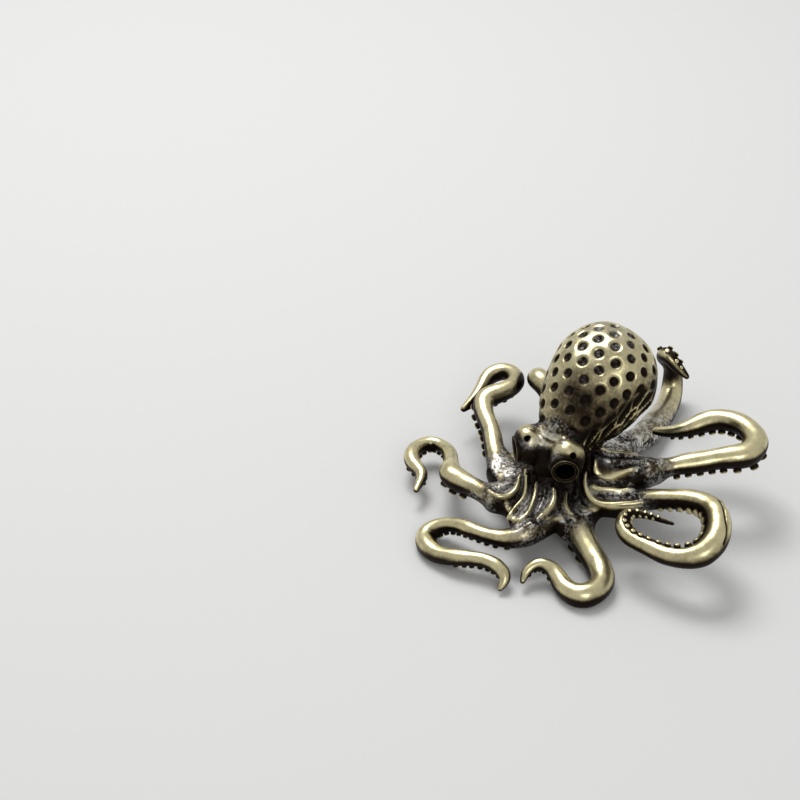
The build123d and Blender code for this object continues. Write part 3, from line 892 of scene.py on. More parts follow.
@dataclass(frozen=True)
class Mantle:
    """The pitted egg behind the face, with a net of ribs low on its flanks.

    The outline is shares of the length and of the radius, from the nose to the belly.
    """

    outline: Rows = (
        (0.00, 0.00), (0.02, 0.20), (0.06, 0.36), (0.15, 0.53), (0.26, 0.70), (0.37, 0.83), (0.50, 0.95),
    )
    length: float = 23.0
    radius: float = 8.2
    pitch: float = 25.0
    belly_share: float = 0.64
    outline_steps: int = 60
    outline_ease: int = 5  # steps that are averaged, behind the sharp nose
    slope_reach: float = 0.3
    nose: Place = (0.4, -3.1, 13.7)
    room_low: Place = (-11.0, -6.0, 9.0)
    room_high: Place = (11.0, 23.0, 31.0)
    pit_rows: float = 2.25
    pit_gap: float = 2.95
    pit_start: float = 2.6
    pit_stop_turn: float = 0.12  # radians from the back's end where the rings stop
    least_pits: int = 3
    pit_radius: float = 0.92
    pit_floor_share: float = 0.1
    pit_lip_share: float = 1.25
    pit_depth: float = 0.55
    pit_fade: Span = (1.4, 3.2)
    pit_reach: float = 0.25
    pit_dark: float = 0.95
    pit_darkened: Span = (0.15, 0.55)
    net_start: float = 58.0  # degrees from the top where the net of ribs begins
    net_widening: float = 35.0  # further degrees until it has taken the pits' place
    net_stop: Span = (13.0, 18.0)
    net_first: float = 0.5
    net_length: float = 17.0
    net_girth: float = 26.0
    net_stretch: float = 1.9
    net_gap: float = 1.7
    net_unevenness: float = 0.45
    net_seed: int = 3
    net_rib: Span = (0.08, 0.55)
    rib_shine: float = 0.95
    rib_edge: Span = (0.15, 0.7)
    rib_facing: Span = (-0.7, -0.2)
    front_along: Span = (6.3, 4.0)  # middle and width of the dark zone behind the face
    front_turn: Span = (24.0, 42.0)
    front_dark: float = 0.72
    top_silver: float = 0.25
    top_facing: Span = (0.6, 1.0)
    fillet: float = 1.4

    @property
    def belly(self) -> float:
        """Distance from the nose to the fullest place."""
        return self.belly_share * self.length

    def net_marks(self) -> np.ndarray:
        """Scatters the cells of the net on the low flanks.

        Returns:
            Rows of stretched distance along the axis and distance round it.
        """
        random = np.random.default_rng(self.net_seed)
        rows = np.arange(self.net_first, self.net_length, self.net_gap * self.net_stretch) / self.net_stretch
        girths = np.arange(-self.net_girth, self.net_girth, self.net_gap)
        shifts = self.net_gap / 2 * (np.arange(len(rows)) % 2)
        marks = np.array([(row, girth + shift) for row, shift in zip(rows, shifts) for girth in girths])
        return marks + random.uniform(-self.net_unevenness, self.net_unevenness, marks.shape)

    def local(self, x: Numbers, y: Numbers, z: Numbers) -> tuple[Numbers, Numbers, Numbers]:
        """Turns places to the mantle's own axis.

        Args:
            x: Coordinates along X.
            y: Coordinates along Y.
            z: Coordinates along Z.

        Returns:
            Distance along the axis, distance from it, and the turn round it from the top in degrees.
        """
        pitch = math.radians(self.pitch)
        nose = np.array(self.nose) - TABLE_MIDDLE
        across, back, up = x - nose[0], y - nose[1], z - nose[2]
        along = back * math.cos(pitch) + up * math.sin(pitch)
        over = up * math.cos(pitch) - back * math.sin(pitch)
        return along, np.hypot(across, over), np.degrees(np.arctan2(across, over))

    def profile(self, along: Numbers) -> Numbers:
        """Looks up the mantle's radius.

        Args:
            along: Distances along the axis.

        Returns:
            Radius at each distance in front of the belly.
        """
        rows = [*self.outline, (self.belly_share, 1.0)]
        marks = np.array([row[0] for row in rows]) * self.length
        widths = np.array([row[1] for row in rows]) * self.radius
        smooth = np.linspace(0, marks[-1], self.outline_steps)
        raw = np.interp(smooth, marks, widths)
        window = np.ones(self.outline_ease) / self.outline_ease
        eased = np.convolve(np.pad(raw, self.outline_ease // 2, mode="edge"), window, mode="valid")
        eased[: self.outline_ease - 1] = raw[: self.outline_ease - 1]
        return np.interp(along, smooth, eased)

    def surface(self, x: Numbers, y: Numbers, z: Numbers) -> Numbers:
        """Measures to the mantle.

        Args:
            x: Coordinates along X.
            y: Coordinates along Y.
            z: Coordinates along Z.

        Returns:
            Distances.
        """
        along, out, _ = self.local(x, y, z)
        reach = self.slope_reach
        slope = (self.profile(along + reach) - self.profile(along - reach)) / (2 * reach)
        front = (out - self.profile(np.clip(along, 0, self.belly))) / np.sqrt(1 + slope**2)
        front = np.where(along < 0, np.maximum(front, -along), front)
        back = np.hypot(along - self.belly, out) - self.radius
        return np.where(along > self.belly, back, front)

    def distances(self, clay: Clay) -> Measured:
        """Measures the grid part round the mantle.

        Args:
            clay: Clay whose grid is measured.

        Returns:
            Distances and the window that they cover.
        """
        low, high = np.array(self.room_low) - TABLE_MIDDLE, np.array(self.room_high) - TABLE_MIDDLE
        window = clay.window(low, high)
        return self.surface(*clay.axes(window)).astype(np.float32), window

    def pit_marks(self) -> np.ndarray:
        """Lays out the pits in staggered rings.

        Returns:
            Array of the pits' places.
        """
        pitch = math.radians(self.pitch)
        axis = np.array([0.0, math.cos(pitch), math.sin(pitch)])
        over = np.array([0.0, -math.sin(pitch), math.cos(pitch)])
        nose = np.array(self.nose) - TABLE_MIDDLE
        front = np.arange(self.pit_start, self.belly, self.pit_rows)
        rings = [(along, float(self.profile(along))) for along in front]
        turn = (front[-1] + self.pit_rows - self.belly) / self.radius
        while turn < math.pi / 2 - self.pit_stop_turn:
            rings.append((self.belly + self.radius * math.sin(turn), self.radius * math.cos(turn)))
            turn += self.pit_rows / self.radius
        marks = [nose + axis * (self.belly + self.radius)]
        for index, (along, out) in enumerate(rings):
            count = max(self.least_pits, round(2 * math.pi * out / self.pit_gap))
            for pit in range(count):
                angle = 2 * math.pi * (pit + 0.5 * (index % 2)) / count
                way = over * math.cos(angle) + np.array([math.sin(angle), 0, 0])
                marks.append(nose + axis * along + way * out)
        return np.array(marks)


@dataclass(frozen=True)
class Drill:
    """A small round hole in the casting, beside an eye."""

    side: Side
    turn: float
    raised: float
    radius: float = 0.42
    floor: float = 1.4
    patina_room: float = 0.06
    patina_start: float = 1.0


@dataclass
class Skin:
    """The casting's surface while it is tooled."""

    points: np.ndarray
    faces: np.ndarray
    outward: np.ndarray
    open_air: np.ndarray
    shift: np.ndarray = field(init=False)
    # polish: how bright the brass is at each point, from polished brass, tarnish, painted shade and a
    # painted highlight
    polish: np.ndarray = field(init=False)
    silver: np.ndarray = field(init=False)

    def __post_init__(self) -> None:
        """Starts without any tooling."""
        count = len(self.points)
        self.shift = np.zeros(count)
        self.polish = np.ones(count)
        self.silver = np.zeros(count)


@dataclass(frozen=True)
class WearAndShade:
    """Where the dark tarnish stays on the casting and where it is polished off, and where shade and a
    highlight are painted in.

    A span says over which values an effect goes from none to full, and the other numbers how strong it is.
    """

    # painted shade: faces that point down are darkened, partly tarnish and partly painted shade and a
    # painted dark reflection from below
    facing: Span = (-0.35, 0.65)
    open_air: Span = (0.5, 0.95)
    air_steps: tuple[float, ...] = (0.7, 1.4, 2.4)
    arm_step: float = 0.3
    arm_room: float = 2.5
    arm_reach: float = 1.2
    arm_slack: float = 0.1
    root_fade: Span = (1.5, 5.0)
    turned_up: Span = (0.0, 0.6)
    # crown_light spares the lit tops of the arms from the painted shade on their sucker sides
    crown: Span = (0.3, 0.7)
    crown_light: float = 0.8
    # painted shade on the arms' sucker side, where it faces down
    flank: Span = (-0.45, 0.0)
    flank_shade: float = 0.9
    bead_strip: Span = (0.4, 0.9)
    bead_strip_dark: float = 0.75
    root_dark: float = 0.4
    eye_front: float = 2.3
    socket_room: float = 0.1
    pupil_room: float = 0.2
    pupil_depth: float = 0.3
    lid_radius: float = 2.35
    lid_width: float = 0.4
    lid_dark: float = 0.85
    face_stretch: Place = (0.8, 1.0, 0.75)
    face: Span = (4.6, 5.6)
    brow: Span = (-0.6, 2.2)
    ahead: Span = (-0.2, 0.4)
    # painted shade on the front of the face under the brows
    face_shade: float = 0.85
    between_eyes: float = 1.5
    # painted shade between the eyes, on faces that don't point up
    between_shade: float = 0.5
    face_top: Span = (0.2, 0.7)
    forehead: Span = (0.2, 1.6)
    forehead_width: float = 3.0
    forehead_power: int = 4
    forehead_back: float = 3.4
    forehead_fade: float = 2.0
    forehead_silver: float = 0.75
    # painted highlight on the forehead, over its rubbed silver
    forehead_highlight: float = 0.8


@dataclass(frozen=True)
class Casting:
    """The whole figurine apart from its eye rings and suckers."""

    cell: float  # side of one grid cell
    web: Web = Web()
    head: Head = Head()
    mantle: Mantle = Mantle()
    drills: tuple[Drill, ...] = (
        Drill(Side.LEFT, turn=24.0, raised=60.0),
        Drill(Side.RIGHT, turn=74.0, raised=51.0),
    )
    wear_and_shade: WearAndShade = WearAndShade()
    room_low: Place = (-29.5, -32.2, -1.0)
    room_high: Place = (29.5, 32.2, 29.6)
    arm_fillet: float = 0.25
    root_fillet: float = 2.8
    skin_passes: int = 2
    parting_line: Rows = (
        (25.1, 4.2, 11.7), (26.7, 2.8, 11.8), (28.2, 0.9, 11.4), (29.3, -0.5, 10.6), (29.9, -2.1, 9.7),
    )
    parting_step: float = 0.1
    parting_reach: float = 6.0
    parting_edge: Span = (0.05, 0.32)
    parting_depth: float = 0.3
    parting_dark: float = 0.9
    wave_sizes: Rows = ((6.5, 0.1), (1.7, 0.012))  # length and height
    wave_count: int = 7
    wave_share: float = 2.6  # about the root of the count, so that together they reach the height
    wave_seed: int = 8

    def clay(self) -> Clay:
        """Puts the forms together.

        Returns:
            The clay, standing on the table.
        """
        clay = Clay(self.room_low, self.room_high, self.cell)
        for form in (self.web, self.head, self.mantle):
            clay.add(*form.distances(clay), form.fillet)
        arms = Clay(self.room_low, self.room_high, self.cell)
        for arm in ARMS:
            arms.add(*arm.distances(clay), self.arm_fillet)
        everything = tuple(slice(0, count) for count in clay.counts)
        clay.add(arms.field, everything, self.root_fillet)
        for side in Side:
            clay.carve(*self.head.socket(clay, side))
        for hole in self.drills:
            clay.carve(*self.drill(clay, hole))
        _, _, z = clay.axes(everything)
        clay.field = np.maximum(clay.field, -z)
        return clay

    def drill(self, clay: Clay, hole: Drill) -> Measured:
        """Measures a small hole beside an eye.

        Args:
            clay: Clay whose grid is measured.
            hole: Hole to drill.

        Returns:
            Distances and the window that they cover.
        """
        place, _ = self.head.eye(hole.side)
        way = facing_way(hole.turn, hole.raised)
        window, along, out = clay.round_axis(place, way, self.head.eye_room)
        return np.maximum(out - hole.radius, hole.floor - along).astype(np.float32), window

    def build(self, finish: bpy.types.Material) -> bpy.types.Object:
        """Makes the casting's piece.

        Args:
            finish: Material to give it.

        Returns:
            The object.
        """
        skin = self.skin()
        marks = {"polish": skin.polish, "silver": skin.silver}
        body = mesh_object("casting", skin.points, skin.faces, marks)
        body.data.materials.append(finish)
        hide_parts("mantle", "head", "web", *(f"arm_{arm.name}" for arm in ARMS))
        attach(body, "root")
        return body

    def skin(self) -> Skin:
        """Meshes the clay and tools it.

        Returns:
            The tooled skin.
        """
        clay = self.clay()
        points, faces = clay.skin()
        for _ in range(self.skin_passes):
            outward = clay.outward(points)
            points = points - outward * clay.sample(points)[:, None] * (points[:, 2:3] > clay.cell)
        outward = clay.outward(points)
        open_air = np.zeros(len(points))
        steps = self.wear_and_shade.air_steps
        for step in steps:
            open_air += np.clip(clay.sample(points + outward * step) / step, 0, 1) / len(steps)
        skin = Skin(points, faces, outward, open_air)
        for tooling in (self.age, self.pit, self.fold, self.score, self.roughen):
            tooling(skin)
        skin.points = skin.points + skin.outward * skin.shift[:, None]
        skin.points[:, 2] = np.maximum(skin.points[:, 2], 0.0)
        return skin

    def age(self, skin: Skin) -> None:
        """Leaves dark tarnish where a polishing wheel doesn't reach, and paints shade on faces that point
        down, on the arms' sucker sides and on the face, with a painted highlight on the forehead.

        Args:
            skin: Skin to mark.
        """
        # painted shade: the skin is darker as it points down; hollows with little open air keep their
        # tarnish
        facing = smooth_step(skin.outward[:, 2], *self.wear_and_shade.facing)
        skin.polish = facing * smooth_step(skin.open_air, *self.wear_and_shade.open_air)
        for arm in ARMS:
            self.age_arm(skin, arm)
        self.age_face(skin)
        for side in Side:
            self.age_eye(skin, side)
        for hole in self.drills:
            place, _ = self.head.eye(hole.side)
            along, out = along_and_out(skin.points, place, facing_way(hole.turn, hole.raised))
            skin.polish[(out < hole.radius + hole.patina_room) & (along > hole.patina_start)] = 0.0

    def age_arm(self, skin: Skin, arm: Arm) -> None:
        """Paints shade on an arm's sucker side, sparing its lit top, darkens a strip of the sucker side
        where it turns up, and leaves its root silvery.

        Args:
            skin: Skin to mark.
            arm: Arm whose part of the skin is marked.
        """
        wear_and_shade = self.wear_and_shade
        line = arm.line(wear_and_shade.arm_step)
        _, under = arm.sucker_side(line)
        low, high = line[:, :3].min(axis=0) - wear_and_shade.arm_room, line[:, :3].max(axis=0) + wear_and_shade.arm_room
        chosen = np.flatnonzero(((skin.points > low) & (skin.points < high)).all(axis=1))
        spread, index = nearest(skin.points[chosen], line[:, :3])
        close = spread[:, 0] < line[index, 3] * wear_and_shade.arm_reach + wear_and_shade.arm_slack
        chosen, index = chosen[close], index[close]
        run, outward, under = index * wear_and_shade.arm_step, skin.outward[chosen], under[index]
        facing = (outward * under).sum(axis=1)
        upright = 1 - smooth_step(under[:, 2], *wear_and_shade.turned_up)
        # dark is the painted shade on the sucker side; shade is what is left of it where the top faces up
        # into the light
        shade = 1 - wear_and_shade.crown_light * smooth_step(outward[:, 2], *wear_and_shade.crown)
        dark = wear_and_shade.flank_shade * upright * shade * smooth_step(facing, *wear_and_shade.flank)
        strip = wear_and_shade.bead_strip_dark * (1 - upright) * smooth_step(facing, *wear_and_shade.bead_strip)
        skin.polish[chosen] *= 1 - smooth_step(run, *wear_and_shade.root_fade) * np.maximum(dark, strip)
        rooted = 1 - smooth_step(run, arm.silver_length * arm.silver_start_share, arm.silver_length)
        skin.silver[chosen] = np.maximum(skin.silver[chosen], arm.silver_share * rooted)
        skin.polish[chosen] *= 1 - wear_and_shade.root_dark * arm.silver_share * rooted

    def age_face(self, skin: Skin) -> None:
        """Paints shade on the face under its brows and between the eyes, and gives the forehead rubbed
        silver with a painted highlight.

        Args:
            skin: Skin to mark.
        """
        wear_and_shade = self.wear_and_shade
        away = skin.points - self.head.face()
        near = 1 - smooth_step(np.linalg.norm(away * wear_and_shade.face_stretch, axis=1), *wear_and_shade.face)
        low = 1 - smooth_step(away[:, 2], *wear_and_shade.brow)
        ahead = smooth_step(-skin.outward[:, 1], *wear_and_shade.ahead)
        # painted shade under the brows
        skin.polish *= 1 - wear_and_shade.face_shade * near * low * ahead
        top = smooth_step(skin.outward[:, 2], *wear_and_shade.face_top)
        # painted shade between the eyes
        between = swelling(away[:, 0], 0.0, wear_and_shade.between_eyes)
        skin.polish *= 1 - wear_and_shade.between_shade * near * between * (1 - top)
        middle = np.exp(-((away[:, 0] / wear_and_shade.forehead_width) ** wear_and_shade.forehead_power))
        forehead = near * smooth_step(away[:, 2], *wear_and_shade.forehead) * middle
        forehead *= top * smooth_step(wear_and_shade.forehead_back - away[:, 1], 0.0, wear_and_shade.forehead_fade)
        # rubbed silver on the forehead, and a painted highlight where it faces up
        skin.silver = np.maximum(skin.silver * (1 - near), wear_and_shade.forehead_silver * forehead)
        skin.polish = np.maximum(skin.polish, wear_and_shade.forehead_highlight * forehead)

    def age_eye(self, skin: Skin, side: Side) -> None:
        """Leaves a socket, its pupil and the groove round them dark.

        Args:
            skin: Skin to mark.
            side: Side of the face.
        """
        wear_and_shade, head = self.wear_and_shade, self.head
        along, out = along_and_out(skin.points, *head.eye(side))
        seated = (out < head.socket_radius + wear_and_shade.socket_room) & (along > 0)
        bored = (out < head.pupil_radius + wear_and_shade.pupil_room) & (along > head.pupil_floor - wear_and_shade.pupil_depth)
        skin.polish[(seated | bored) & (along < wear_and_shade.eye_front)] = 0.0
        lid = swelling(out, wear_and_shade.lid_radius, wear_and_shade.lid_width) * (along > 0)
        skin.polish *= 1 - wear_and_shade.lid_dark * lid

    def pit(self, skin: Skin) -> None:
        """Stamps the mantle's pits, and the net of ribs low on its flanks.

        Args:
            skin: Skin to stamp.
        """
        mantle = self.mantle
        gap = np.abs(mantle.surface(*skin.points.T))
        along, _, turn = mantle.local(*skin.points.T)
        chosen = np.flatnonzero((gap < mantle.pit_reach) & (along > mantle.pit_fade[0]))
        along, turn, up = along[chosen], turn[chosen], skin.outward[chosen, 2]
        low = smooth_step(np.abs(turn), mantle.net_start, mantle.net_start + mantle.net_widening)
        low = low * (1 - smooth_step(along, *mantle.net_stop))
        fade = smooth_step(along, *mantle.pit_fade)
        spread = nearest(skin.points[chosen], mantle.pit_marks())[0][:, 0]
        floor, lip = mantle.pit_radius * mantle.pit_floor_share, mantle.pit_radius * mantle.pit_lip_share
        bowl = 1 - smooth_step(spread, floor, lip)
        girth = np.radians(turn) * mantle.profile(np.clip(along, 0, mantle.belly))
        flat = np.column_stack([along / mantle.net_stretch, girth])
        cells = nearest(flat, mantle.net_marks(), 2)[0]
        net = smooth_step(cells[:, 1] - cells[:, 0], *mantle.net_rib)
        deep = bowl * (1 - low) + net * low
        skin.shift[chosen] -= fade * mantle.pit_depth * deep
        ribs = low * (1 - smooth_step(net, *mantle.rib_edge)) * smooth_step(up, *mantle.rib_facing)
        skin.polish[chosen] = np.maximum(skin.polish[chosen], mantle.rib_shine * ribs)
        skin.polish[chosen] *= 1 - mantle.pit_dark * smooth_step(deep, *mantle.pit_darkened) * fade
        front = swelling(along, *mantle.front_along) * swelling(turn, *mantle.front_turn)
        skin.polish[chosen] *= 1 - mantle.front_dark * front
        worn = mantle.top_silver * smooth_step(up, *mantle.top_facing)
        skin.silver[chosen] = np.maximum(skin.silver[chosen], worn)

    def fold(self, skin: Skin) -> None:
        """Raises the web's folds, darkens what lies between them and paints the neck's shadow on the web
        round its foot.

        Args:
            skin: Skin to raise.
        """
        web, up = self.web, skin.outward[:, 2]
        ridge, groove, inside, rim = web.folds(skin.points)
        upward = smooth_step(up, *web.fold_facing)
        skin.shift += upward * (web.fold_height * ridge - web.groove_depth * groove)
        plain = inside * (1 - ridge)
        out = np.hypot(*(skin.points[:, :2] + TABLE_MIDDLE[:2]).T)
        # painted shadow of the neck on the web round its foot
        column = 1 - smooth_step(out, *web.neck_shadow)
        dark = web.patina_and_shade + web.extra_patina_and_shade * groove + web.extra_patina_and_shade * column
        dark = np.clip(dark, 0, web.most_patina_and_shade)
        skin.polish *= 1 - plain * upward * dark
        shiny = smooth_step(ridge, *web.fold_polished)
        skin.polish = np.maximum(skin.polish, web.fold_polish * shiny * upward)
        skin.silver = np.maximum(skin.silver, plain * smooth_step(up, *web.silver_facing))
        skin.silver *= 1 - web.groove_silver_loss * groove
        skin.silver *= 1 - web.neck_silver_loss * column * inside
        rim = rim * smooth_step(up, *web.rim_facing)
        skin.polish = np.maximum(skin.polish, web.rim_polish * rim)
        skin.silver *= 1 - web.rim_silver_loss * rim

    def score(self, skin: Skin) -> None:
        """Leaves the parting line that shows on one bend.

        Args:
            skin: Skin to score.
        """
        line = smooth_curve(np.array(self.parting_line), self.parting_step)[0] - TABLE_MIDDLE
        near = np.flatnonzero((np.abs(skin.points - line.mean(axis=0)) < self.parting_reach).all(axis=1))
        cut = 1 - smooth_step(nearest(skin.points[near], line)[0][:, 0], *self.parting_edge)
        skin.shift[near] -= self.parting_depth * cut
        skin.polish[near] *= 1 - self.parting_dark * cut

    def roughen(self, skin: Skin) -> None:
        """Leaves the small unevenness of a casting.

        Args:
            skin: Skin to roughen.
        """
        random = np.random.default_rng(self.wave_seed)
        for length, height in self.wave_sizes:
            for _ in range(self.wave_count):
                way = random.normal(size=3)
                way /= np.linalg.norm(way)
                phase = random.uniform(0, 2 * math.pi)
                wave = np.sin(skin.points @ way * 2 * math.pi / length + phase)
                skin.shift += height / self.wave_share * wave


def mesh_object(
    name: str, points: np.ndarray, faces: np.ndarray, marks: dict[str, np.ndarray] | None = None
) -> bpy.types.Object:
    """Makes a smooth mesh object.

    Args:
        name: Name of the piece.
        points: Places in millimetres.
        faces: Rows of point indices.
        marks: Values per point, by attribute name.

    Returns:
        The object.
    """
    mesh = bpy.data.meshes.new(name)
    mesh.from_pydata((np.asarray(points) * METRES).tolist(), [], np.asarray(faces).tolist())
    mesh.update()
    mesh.polygons.foreach_set("use_smooth", np.ones(len(mesh.polygons), dtype=bool))
    for mark, values in (marks or {}).items():
        layer = mesh.attributes.new(mark, "FLOAT", "POINT")
        layer.data.foreach_set("value", np.asarray(values, dtype=np.float32))
    thing = bpy.data.objects.new(name, mesh)
    bpy.context.scene.collection.objects.link(thing)
    return thing


def lathe(profile: Rows, sides: int) -> tuple[np.ndarray, np.ndarray, np.ndarray]:
    """Turns a profile round Z.

    Args:
        profile: Rows of distance out and height, from the outside in.
        sides: Number of steps round.

    Returns:
        Points, faces and the profile row of each point.
    """
    turns = 2 * math.pi * np.arange(sides) / sides
    points, rows = [], []
    for row, (out, height) in enumerate(profile):
        points += [(out * math.cos(turn), out * math.sin(turn), height) for turn in turns]
        rows += [row] * sides
    faces = []
    for here in range(0, (len(profile) - 1) * sides, sides):
        there = here + sides
        for side in range(sides):
            after = (side + 1) % sides
            faces.append((here + side, here + after, there + after, there + side))
    return np.array(points), np.array(faces), np.array(rows)


def frame_towards(way: np.ndarray) -> np.ndarray:
    """Finds two directions square to a third.

    Args:
        way: Direction of length one.

    Returns:
        Rows across, over and along it.
    """
    across = np.cross([0.0, 0.0, 1.0], way)
    across /= np.linalg.norm(across)
    return np.array([across, np.cross(way, across), way])


@dataclass(frozen=True)
class EyeRing:
    """The rim round a pupil, seated in its socket."""

    side: Side
    seat: float = 1.2
    sides: int = 64
    profile: Rows = (
        (1.65, 0.05), (1.98, 0.05), (2.0, 0.25), (2.0, 0.85), (1.98, 0.93), (1.95, 0.95), (1.91, 0.91),
        (1.84, 0.78), (1.7, 0.74), (1.6, 0.82), (1.55, 0.88), (1.52, 0.9), (1.49, 0.88), (1.46, 0.8),
        (1.45, 0.5), (1.45, 0.03), (1.65, 0.05),
    )
    shine: tuple[float, ...] = (
        0.0, 0.0, 0.1, 0.2, 0.6, 0.65, 0.2, 0.05, 0.05, 0.1, 0.35, 0.5, 0.4, 0.1, 0.0, 0.0, 0.0,
    )

    def build(self, head: Head, finish: bpy.types.Material) -> bpy.types.Object:
        """Makes the ring.

        Args:
            head: Head that holds the socket.
            finish: Material to give it.

        Returns:
            The object.
        """
        points, faces, rows = lathe(self.profile, self.sides)
        place, look = head.eye(self.side)
        placed = points @ frame_towards(look) + place + look * self.seat
        marks = {"polish": np.array(self.shine)[rows], "silver": np.zeros(len(points))}
        name = f"eye_ring_{self.side.name.lower()}"
        thing = mesh_object(f"{name}_turned", placed, faces, marks)
        thing.data.materials.append(finish)
        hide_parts(name)
        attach(thing, "root")
        return thing


@dataclass(frozen=True)
class Suckers:
    """Two rows of suckers under one arm.

    The profile is shares of a sucker's width, from its foot in the arm to the middle of its cup.
    """

    arm: Arm
    line_step: float = 0.2
    first: float = 0.12
    pitch_share: float = 1.15
    least_pitch: float = 1.15
    row_turn: float = 33.75
    width_share: float = 0.36
    least_width: float = 0.29
    least_lift: float = 0.6
    table_gap: float = 0.02
    sides: int = 14
    profile: Rows = (
        (0.75, -0.55), (0.92, -0.1), (1.0, 0.25), (0.95, 0.55), (0.8, 0.78), (0.58, 0.92), (0.4, 0.95),
        (0.22, 0.9), (0.02, 0.88),
    )
    shine: tuple[float, ...] = (0.0, 0.05, 0.2, 0.55, 0.9, 1.0, 1.0, 0.85, 0.75)

    def places(self) -> list[tuple[np.ndarray, np.ndarray, float]]:
        """Finds where the suckers stand.

        Returns:
            Rows of place and way out, and the width of each sucker.
        """
        line = self.arm.line(self.line_step)
        found = []
        due = self.first * len(line) * self.line_step
        turn = -math.radians(self.row_turn)
        for index, (point, tangent, middle) in enumerate(zip(line, *self.arm.sucker_side(line))):
            if index * self.line_step < due or index > self.arm.sucker_end * len(line):
                continue
            radius = point[3]
            due += max(radius * self.pitch_share, self.least_pitch) / 2
            turn = -turn
            way = middle * math.cos(turn) - np.cross(tangent, middle) * math.sin(turn)
            place = point[:3] + way * radius
            width = max(radius * self.width_share, self.least_width)
            if way[2] >= 0 or place[2] - width >= self.least_lift:
                found.append((place, way, width))
        return found

    def build(self, finish: bpy.types.Material) -> bpy.types.Object:
        """Makes all suckers of the arm as one piece.

        Args:
            finish: Material to give them.

        Returns:
            The object.
        """
        shape, shape_faces, rows = lathe(self.profile, self.sides)
        places = self.places()
        parts = [shape * width @ frame_towards(way) + place for place, way, width in places]
        points = np.concatenate(parts)
        points[:, 2] = np.maximum(points[:, 2], self.table_gap)
        faces = np.concatenate([shape_faces + len(shape) * index for index in range(len(places))])
        polish = np.tile(np.array(self.shine)[rows], len(places))
        marks = {"polish": polish, "silver": np.zeros(len(points))}
        thing = mesh_object(f"suckers_{self.arm.name}_beads", points, faces, marks)
        thing.data.materials.append(finish)
        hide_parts(f"suckers_{self.arm.name}")
        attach(thing, "root")
        return thing


class Wire:
    """A shader output that ordinary arithmetic can be done with."""

    def __init__(self, graph: "ShaderGraph", socket: bpy.types.NodeSocket) -> None:
        """Wraps a node's output socket, and keeps the graph that new nodes go to."""
        self.graph = graph
        self.socket = socket

    def combined(self, operation: Sum, other: "Wire | float", swapped: bool = False) -> "Wire":
        """Adds a math node.

        Args:
            operation: What it does.
            other: Wire or number.
            swapped: Whether other comes first.

        Returns:
            Wire of the result.
        """
        pair = (other, self) if swapped else (self, other)
        node = self.graph.node("ShaderNodeMath", {"operation": operation.value}, dict(enumerate(pair)))
        return Wire(self.graph, node.outputs[0])

    def __add__(self, other: "Wire | float") -> "Wire":
        """Adds a wire or number to this one."""
        return self.combined(Sum.ADD, other)

    def __radd__(self, other: "Wire | float") -> "Wire":
        """Adds this wire to a number."""
        return self.combined(Sum.ADD, other, True)

    def __sub__(self, other: "Wire | float") -> "Wire":
        """Takes a wire or number from this one."""
        return self.combined(Sum.SUBTRACT, other)

    def __rsub__(self, other: "Wire | float") -> "Wire":
        """Takes this wire from a number."""
        return self.combined(Sum.SUBTRACT, other, True)

    def __mul__(self, other: "Wire | float") -> "Wire":
        """Multiplies this wire by a wire or number."""
        return self.combined(Sum.MULTIPLY, other)

    def __rmul__(self, other: "Wire | float") -> "Wire":
        """Multiplies a number by this wire."""
        return self.combined(Sum.MULTIPLY, other, True)

    def between(self, low: float, high: float, start: float = 0.0, end: float = 1.0) -> "Wire":
        """Maps a span of values to another, eased and clamped.

        Args:
            low: Value that gives start.
            high: Value that gives end.
            start: Result at low.
            end: Result at high.

        Returns:
            Wire of the result.
        """
        values = {"Value": self, "From Min": low, "From Max": high, "To Min": start, "To Max": end}
        node = self.graph.node("ShaderNodeMapRange", {"interpolation_type": "SMOOTHSTEP"}, values)
        return Wire(self.graph, node.outputs["Result"])


